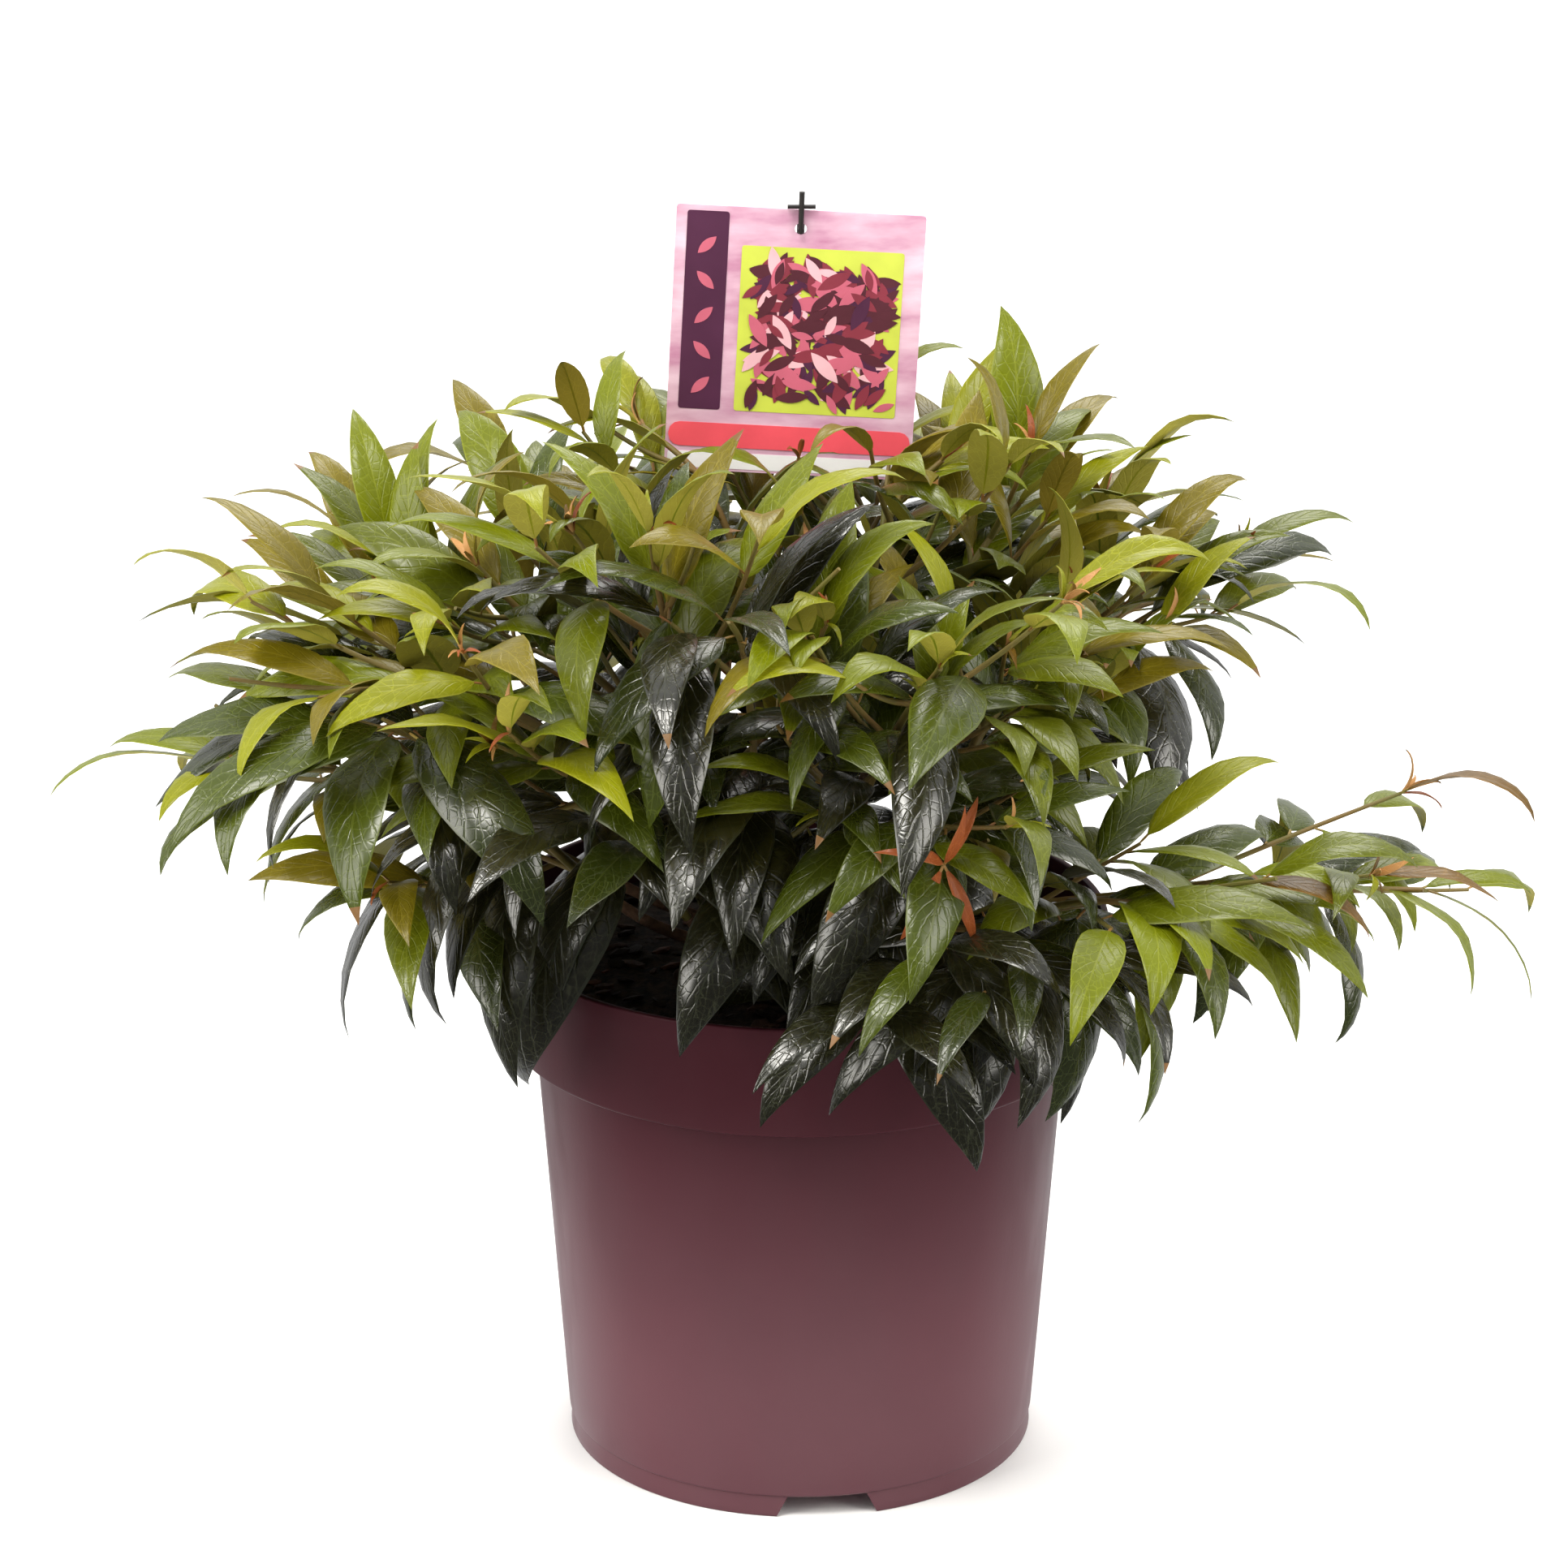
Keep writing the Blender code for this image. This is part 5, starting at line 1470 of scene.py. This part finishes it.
def grid_into(bm, columns, upper):
    """A grid over the leaf's length and width, with its faces marked by kind."""
    before = set(bm.verts)
    old_faces = set(bm.faces)
    bmesh.ops.create_grid(bm, x_segments=len(ROWS) - 1, y_segments=len(columns) - 1, size=1.0)
    fresh = [v for v in bm.verts if v not in before]
    rows = sorted({round(v.co.x, 4) for v in fresh})
    lines = sorted({round(v.co.y, 4) for v in fresh})
    assert len(rows) == len(ROWS) and len(lines) == len(columns)
    for vert in fresh:
        along = ROWS[rows.index(round(vert.co.x, 4))]
        across = columns[lines.index(round(vert.co.y, 4))]
        inner = 0.0 if abs(across) == 1.0 or along in (0.0, 1.0) else 1.0
        vert.co = Vector((along, across, inner if upper else -inner))
    faces = [f for f in bm.faces if f not in old_faces]
    for face in faces:
        middle = face.calc_center_median()
        light = abs(middle.y) < RIB_EDGE or abs(middle.y) > MARGIN_EDGE
        if middle.x < STALK_END:
            face.material_index = STALK
        elif middle.x > TIP_START:
            face.material_index = TIP
        elif upper:
            face.material_index = UPPER_RIB if light else UPPER
        else:
            face.material_index = LOWER_RIB if light else LOWER
    if not upper:
        bmesh.ops.reverse_faces(bm, faces=faces)


pattern = bmesh.new()
grid_into(pattern, UPPER_COLUMNS, True)
grid_into(pattern, LOWER_COLUMNS, False)
for end in (0.0, 1.0):
    together = [v for v in pattern.verts if v.co.x == end]
    bmesh.ops.pointmerge(pattern, verts=together, merge_co=(end, 0.0, 0.0))
bmesh.ops.remove_doubles(pattern, verts=pattern.verts, dist=0.0001)
pattern.verts.index_update()
PATTERN_SPOTS = np.array([tuple(v.co) for v in pattern.verts])
PATTERN_FACES = [[v.index for v in face.verts] for face in pattern.faces]
PATTERN_KINDS = np.array([face.material_index for face in pattern.faces])
PATTERN_SIZES = np.array([len(face) for face in PATTERN_FACES])
PATTERN_LOOPS = np.array([i for face in PATTERN_FACES for i in face])
open_edges = sum(1 for edge in pattern.edges if len(edge.link_faces) != 2)
pattern.free()
print(f"pattern leaf: {len(PATTERN_FACES)} faces, {open_edges} open edges")

# %% Leaves: the blade's outline and section
BLADE_START = 0.62
BLADE_END = 0.95
LONG_POINT = 0.35
STALK_HALF_WIDTH = 0.55 * MM
BLADE_HALF_THICKNESS = 0.20 * MM
RIB_RISE = 0.25 * MM
BACK_SET = 1.6 * MM
SPINE_STEPS = 24
YOUNG_LEAF_WIDTH = 0.88
OLD_LEAF_WIDER = 0.26
Form = namedtuple("Form", "width twist wave ripple fold curl recurve")


def outline(along):
    """Half the width of the blade, as a share of its widest, drawn in to a long point."""
    t = np.clip((along - STALK_END) / (1.0 - STALK_END), 0.0, 1.0)
    widest = BLADE_START / (BLADE_START + BLADE_END)
    most = widest**BLADE_START * (1.0 - widest) ** BLADE_END
    drawn_in = 1.0 - LONG_POINT * np.clip((t - widest) / (1.0 - widest), 0.0, 1.0) ** 2
    return drawn_in * t**BLADE_START * (1.0 - t) ** BLADE_END / most


def spine(leaf, recurve, along):
    """The leaf's middle line: how far on, how far down and how steep at each place.
    Its tip hooks down more than the solid's, but both have the same ends."""
    t = np.linspace(0.0, 1.0, SPINE_STEPS + 1)
    turn = leaf.bend * t + recurve * t**3
    mid_turn = (turn[1:] + turn[:-1]) / 2
    on = np.concatenate([[0.0], np.cumsum(np.cos(mid_turn))]) / SPINE_STEPS
    down = np.concatenate([[0.0], np.cumsum(np.sin(mid_turn))]) / SPINE_STEPS
    solid_tip = (math.sin(leaf.bend) / leaf.bend, (1.0 - math.cos(leaf.bend)) / leaf.bend)
    lift = math.atan2(down[-1], on[-1]) - math.atan2(solid_tip[1], solid_tip[0])
    scale = leaf.length * math.hypot(*solid_tip) / math.hypot(on[-1], down[-1])
    forward = scale * (on * math.cos(lift) + down * math.sin(lift))
    sink = scale * (down * math.cos(lift) - on * math.sin(lift))
    return [np.interp(along, t, values) for values in (forward, sink, turn - lift)]


def leaf_spots(leaf, form):
    """The pattern's corners, bent and placed as this leaf."""
    along, across, face = PATTERN_SPOTS.T
    stalk = STALK_HALF_WIDTH * (1.0 - along) ** 0.2
    half = np.maximum(outline(along) * leaf.width * form.width / 2, stalk)
    lift = half * (form.fold * abs(across) - form.curl * across**2)
    lift += half * form.ripple * np.sin(along * 11.0 + form.wave) * across**2
    thick = np.where(abs(across) < 0.2, BLADE_HALF_THICKNESS + RIB_RISE * (1 - along), BLADE_HALF_THICKNESS)
    lift += face * thick
    forward, sink, turn = spine(leaf, form.recurve, along)
    forward = forward - BACK_SET * (along == 0.0)
    heading = np.array(leaf.heading)
    top = np.array(leaf.face)
    side = np.array(leaf.heading.cross(leaf.face))
    tilt = form.twist * along
    local_top = np.outer(np.cos(turn), top) + np.outer(np.sin(turn), heading)
    over = -side * np.cos(tilt)[:, None] + local_top * np.sin(tilt)[:, None]
    rise_dir = local_top * np.cos(tilt)[:, None] + side * np.sin(tilt)[:, None]
    middle = np.array(leaf.root) + np.outer(forward, heading) - np.outer(sink, top)
    return middle + over * (across * half)[:, None] + rise_dir * lift[:, None]


# %% [markdown]
# ## Leaf colours
#
# Old leaves low in the crown are nearly black and shine; the ones above are olive to
# bright green, the newest yellow-green, and a few shoots open copper red. Each tone
# is one material. A leaf's tone follows from its age on the shoot, its height in the
# crown and how fresh its branch is, so colours lie as they do on the plant.

# %% Leaves: vein relief
VEINS, veins_in, veins_out = new_group(
    "leaf_veins",
    [
        ("Blade", "NodeSocketColor", (0.1, 0.1, 0.01, 1.0)), ("Line", "NodeSocketColor", (0.2, 0.2, 0.02, 1.0)),
        ("Depth", "NodeSocketFloat", 0.0003), ("Pairs", "NodeSocketFloat", 10.0),
    ],
    [("Colour", "NodeSocketColor"), ("Normal", "NodeSocketVector")],
)
leaf_map = VEINS.nodes.new("ShaderNodeUVMap")
leaf_map.uv_map = "leaf_map"
apart = VEINS.nodes.new("ShaderNodeSeparateXYZ")


def value_node(group, operation, *inputs):
    """A Math node whose inputs are numbers or sockets."""
    node = group.nodes.new("ShaderNodeMath")
    node.operation = operation
    for i, value in enumerate(inputs):
        if isinstance(value, (int, float)):
            node.inputs[i].default_value = value
        else:
            group.links.new(value, node.inputs[i])
    return node.outputs[0]


VEINS.links.new(leaf_map.outputs["UV"], apart.inputs[0])
from_rib = value_node(VEINS, "ABSOLUTE", value_node(VEINS, "SUBTRACT", apart.outputs["Y"], 0.5))
forward = value_node(VEINS, "MULTIPLY", value_node(VEINS, "POWER", from_rib, 0.8), 0.42)
phase = value_node(VEINS, "SUBTRACT", apart.outputs["X"], forward)
leaf_place = VEINS.nodes.new("ShaderNodeTexCoord")
wander = VEINS.nodes.new("ShaderNodeTexNoise")
wander.inputs["Scale"].default_value = 70.0
VEINS.links.new(leaf_place.outputs["Object"], wander.inputs["Vector"])
phase = value_node(VEINS, "ADD", phase, value_node(VEINS, "MULTIPLY", wander.outputs["Fac"], 0.12))
half_turns = value_node(VEINS, "MULTIPLY", veins_in.outputs["Pairs"], math.pi)
wave = value_node(VEINS, "SINE", value_node(VEINS, "MULTIPLY", phase, half_turns))


def rising(source, edge):
    """A smooth step from a vein's middle up to the flat of the leaf."""
    ramp = VEINS.nodes.new("ShaderNodeMapRange")
    ramp.interpolation_type = "SMOOTHSTEP"
    ramp.inputs["From Max"].default_value = edge
    VEINS.links.new(source, ramp.inputs["Value"])
    return ramp.outputs["Result"]


mesh_of_veins = VEINS.nodes.new("ShaderNodeTexVoronoi")
mesh_of_veins.feature = "DISTANCE_TO_EDGE"
mesh_of_veins.inputs["Scale"].default_value = 260.0
VEINS.links.new(leaf_place.outputs["Object"], mesh_of_veins.inputs["Vector"])
side_veins = rising(value_node(VEINS, "ABSOLUTE", wave), 0.40)
small_veins = value_node(VEINS, "MULTIPLY", rising(mesh_of_veins.outputs["Distance"], 0.12), 0.35)
vein = value_node(VEINS, "ADD", side_veins, small_veins)
bump = VEINS.nodes.new("ShaderNodeBump")
VEINS.links.new(vein, bump.inputs["Height"])
VEINS.links.new(veins_in.outputs["Depth"], bump.inputs["Distance"])
VEINS.links.new(bump.outputs["Normal"], veins_out.inputs["Normal"])
thin = value_node(VEINS, "MULTIPLY", rising(value_node(VEINS, "ABSOLUTE", wave), 0.16),
                  rising(mesh_of_veins.outputs["Distance"], 0.05))
inked = VEINS.nodes.new("ShaderNodeMix")
inked.data_type = "RGBA"
VEINS.links.new(thin, inked.inputs["Factor"])
VEINS.links.new(veins_in.outputs["Line"], inked.inputs["A"])
VEINS.links.new(veins_in.outputs["Blade"], inked.inputs["B"])
VEINS.links.new(inked.outputs["Result"], veins_out.inputs["Colour"])

# %% Leaves: the tones
def leaf_material(name, colour, line, roughness, shine, depth, drift=0.75):
    """A leaf's surface: its colour drifts a little over the plant, and its veins are sunk."""
    made = new_material(name, colour, roughness, shine)
    mottle = use_group(
        made, MOTTLE, first_colour=(*colour, 1.0), second_colour=(*(drift * v for v in colour), 1.0),
        scale=28.0, contrast=0.2,
    )
    veins = use_group(made, VEINS, depth=depth, line=(*line, 1.0))
    made.node_tree.links.new(mottle.outputs["Colour"], veins.inputs["Blade"])
    join(made, veins.outputs["Colour"], "Base Color")
    join(made, veins.outputs["Normal"], "Normal")
    return made


# The underside colours are partly the paler colour of a real underside and partly painted light: they are raised to
# stand for light shining through the leaf.
Tone = namedtuple("Tone", "blade line rib under roughness shine depth")
TONES = {
    "black_green": Tone(
        (0.008, 0.008, 0.002), (0.022, 0.024, 0.010), (0.014, 0.016, 0.005), (0.085, 0.078, 0.018), 0.24, 0.80, 0.00013
    ),
    "deep_green": Tone(
        (0.018, 0.025, 0.002), (0.036, 0.046, 0.012), (0.032, 0.040, 0.005), (0.155, 0.140, 0.016), 0.25, 0.65, 0.00012
    ),
    "mid_green": Tone(
        (0.045, 0.061, 0.002), (0.070, 0.090, 0.010), (0.072, 0.092, 0.006), (0.245, 0.220, 0.022), 0.27, 0.48, 0.00011
    ),
    "olive_green": Tone(
        (0.088, 0.105, 0.001), (0.116, 0.136, 0.008), (0.124, 0.144, 0.006), (0.320, 0.280, 0.030), 0.29, 0.36, 0.00010
    ),
    "fresh_green": Tone(
        (0.134, 0.158, 0.001), (0.160, 0.186, 0.008), (0.180, 0.205, 0.008), (0.370, 0.330, 0.040), 0.31, 0.30, 0.00010
    ),
    "yellow_green": Tone(
        (0.212, 0.222, 0.002), (0.235, 0.245, 0.010), (0.268, 0.270, 0.012), (0.420, 0.375, 0.055), 0.33, 0.26, 0.00008
    ),
    "brown_olive": Tone(
        (0.150, 0.118, 0.004), (0.175, 0.138, 0.008), (0.200, 0.160, 0.010), (0.330, 0.250, 0.030), 0.32, 0.30, 0.00009
    ),
    "bronze": Tone(
        (0.120, 0.062, 0.005), (0.150, 0.080, 0.010), (0.170, 0.085, 0.010), (0.220, 0.125, 0.024), 0.34, 0.26, 0.00009
    ),
    "copper": Tone(
        (0.300, 0.070, 0.016), (0.340, 0.090, 0.022), (0.380, 0.115, 0.030), (0.340, 0.105, 0.030), 0.36, 0.30, 0.00006
    ),
    "orange": Tone(
        (0.500, 0.250, 0.085), (0.520, 0.265, 0.090), (0.540, 0.280, 0.100), (0.540, 0.290, 0.110), 0.42, 0.28, 0.00004
    ),
}
STALK_COLOUR = (0.22, 0.19, 0.035)
TONE_ORDER = ["black_green", "deep_green", "mid_green", "olive_green", "fresh_green", "yellow_green"]
TIP_COLOUR = (0.17, 0.075, 0.015)
RED_TIP_AGE = 0.4
RED_TIP_SHARE = 0.22
leaf_finishes = [new_material("leaf_stalk", STALK_COLOUR, 0.45), new_material("leaf_tip", TIP_COLOUR, 0.45)]
finish_with(leaf_finishes[0], STALK_COLOUR, (0.27, 0.10, 0.035), 40.0, 0.00005, 900.0, 0.2)
finish_with(leaf_finishes[1], TIP_COLOUR, (0.12, 0.06, 0.012), 40.0, 0.00005, 900.0, 0.2)
tone_slots = {}
for name, tone in TONES.items():
    tone_slots[name] = len(leaf_finishes)
    blade = (tone.blade, tone.line, tone.roughness, tone.shine, tone.depth)
    leaf_finishes.append(leaf_material(f"{name}_blade", *blade))
    leaf_finishes.append(leaf_material(f"{name}_rib", tone.rib, tone.rib, tone.roughness + 0.05, tone.shine, 0.00002))
    leaf_finishes.append(leaf_material(f"{name}_under", tone.under, tone.under, 0.55, 0.3, 0.00006))

# %% Leaves: which tone a leaf has
FRESHNESS = {
    "front_dark": -0.60, "front_left_low": -0.55, "left_droop": -0.20, "front_right_low": -0.35,
    "front_copper": -0.10, "long_right": 0.22, "right_droop": 0.18, "left_low": 0.20,
    "left_middle": 0.12, "left_upper": 0.06, "right_back": -0.12, "back": -0.05,
}
AGE_COUNTS = 0.50
HEIGHT_COUNTS = 0.42
CHANCE_COUNTS = 0.17
GREENEST = ("long_right", "right_droop")
BROWNER_SHARE = 0.22
LOW_LEAVES = 0.235
HIGH_LEAVES = 0.370


def tone_of(name, leaf, age, chance):
    """Youngest and highest are the brightest; low branches keep the darkest leaves."""
    height = (leaf.root.z - LOW_LEAVES) / (HIGH_LEAVES - LOW_LEAVES)
    value = AGE_COUNTS * (1.0 - age) + HEIGHT_COUNTS * height + FRESHNESS.get(name, 0.0)
    value += chance.uniform(-CHANCE_COUNTS, CHANCE_COUNTS)
    step = int(np.clip(value * 6.0, 0, 5))
    if age < NEWEST_AGE:
        return "copper"
    if age < 0.0:
        return chance.choice(("orange", "orange", "copper", "bronze", "yellow_green"))
    if name == "long_right" and age < 0.2 and chance.random() < 0.25:
        return "bronze"
    if step > 2 and name not in GREENEST and chance.random() < BROWNER_SHARE:
        return "brown_olive"
    return TONE_ORDER[step]


# %% Leaves: one mesh for each branch
def form_of(age, chance):
    """Old leaves are flat or arched across, with rippled margins; young ones are folded."""
    return Form(
        width=YOUNG_LEAF_WIDTH + OLD_LEAF_WIDER * np.clip(age, 0.0, 1.0),
        twist=chance.uniform(-0.4, 0.4),
        wave=chance.uniform(0.0, 2 * math.pi),
        ripple=chance.uniform(0.03, 0.14),
        fold=0.34 - 0.20 * age + chance.uniform(-0.06, 0.06),
        curl=0.24 + 0.22 * age + chance.uniform(-0.05, 0.05),
        recurve=math.radians(chance.uniform(15.0, 60.0)),
    )


def leaves_mesh(name, leaves):
    """The bent copies of the pattern, joined."""
    chance = random.Random(BRANCHES[name].seed * 77)
    count = len(leaves)
    spots = []
    kinds = []
    for leaf, age in leaves:
        spots.append(leaf_spots(leaf, form_of(age, chance)))
        first = tone_slots[tone_of(name, leaf, age, chance)]
        tip = 1 if age < RED_TIP_AGE and chance.random() < RED_TIP_SHARE else first
        by_kind = np.array([0, first, first + 1, first + 2, first + 1, tip])
        kinds.append(by_kind[PATTERN_KINDS])
    size = len(PATTERN_SPOTS)
    loops = (PATTERN_LOOPS[None, :] + size * np.arange(count)[:, None]).ravel()
    starts = np.concatenate([[0], np.cumsum(PATTERN_SIZES)[:-1]])
    starts = (starts[None, :] + len(PATTERN_LOOPS) * np.arange(count)[:, None]).ravel()
    mesh = bpy.data.meshes.new(f"leaves_{name}")
    mesh.vertices.add(size * count)
    mesh.vertices.foreach_set("co", np.concatenate(spots).astype(np.float32).ravel())
    mesh.loops.add(len(loops))
    mesh.loops.foreach_set("vertex_index", loops.astype(np.int32))
    mesh.polygons.add(len(starts))
    mesh.polygons.foreach_set("loop_start", starts.astype(np.int32))
    mesh.polygons.foreach_set("material_index", np.concatenate(kinds).astype(np.int32))
    leaf_map = mesh.uv_layers.new(name="leaf_map")
    flat = PATTERN_SPOTS[PATTERN_LOOPS][:, :2] * (1.0, 0.5) + (0.0, 0.5)
    leaf_map.data.foreach_set("uv", np.tile(flat, (count, 1)).astype(np.float32).ravel())
    mesh.update()
    mesh.validate()
    mesh.shade_smooth()
    mesh.set_sharp_from_angle(angle=math.radians(70.0))
    return mesh


total_faces = 0
for name in BRANCHES:
    leaves = list(zip(crown.leaves[name], crown.ages[name]))
    leaves += crown.young[name]
    mesh = leaves_mesh(name, leaves)
    total_faces += len(mesh.polygons)
    add_piece(f"leaves_{name}", mesh, leaf_finishes, [f"mass_{name}"])
print(f"leaves: {total_faces} faces")
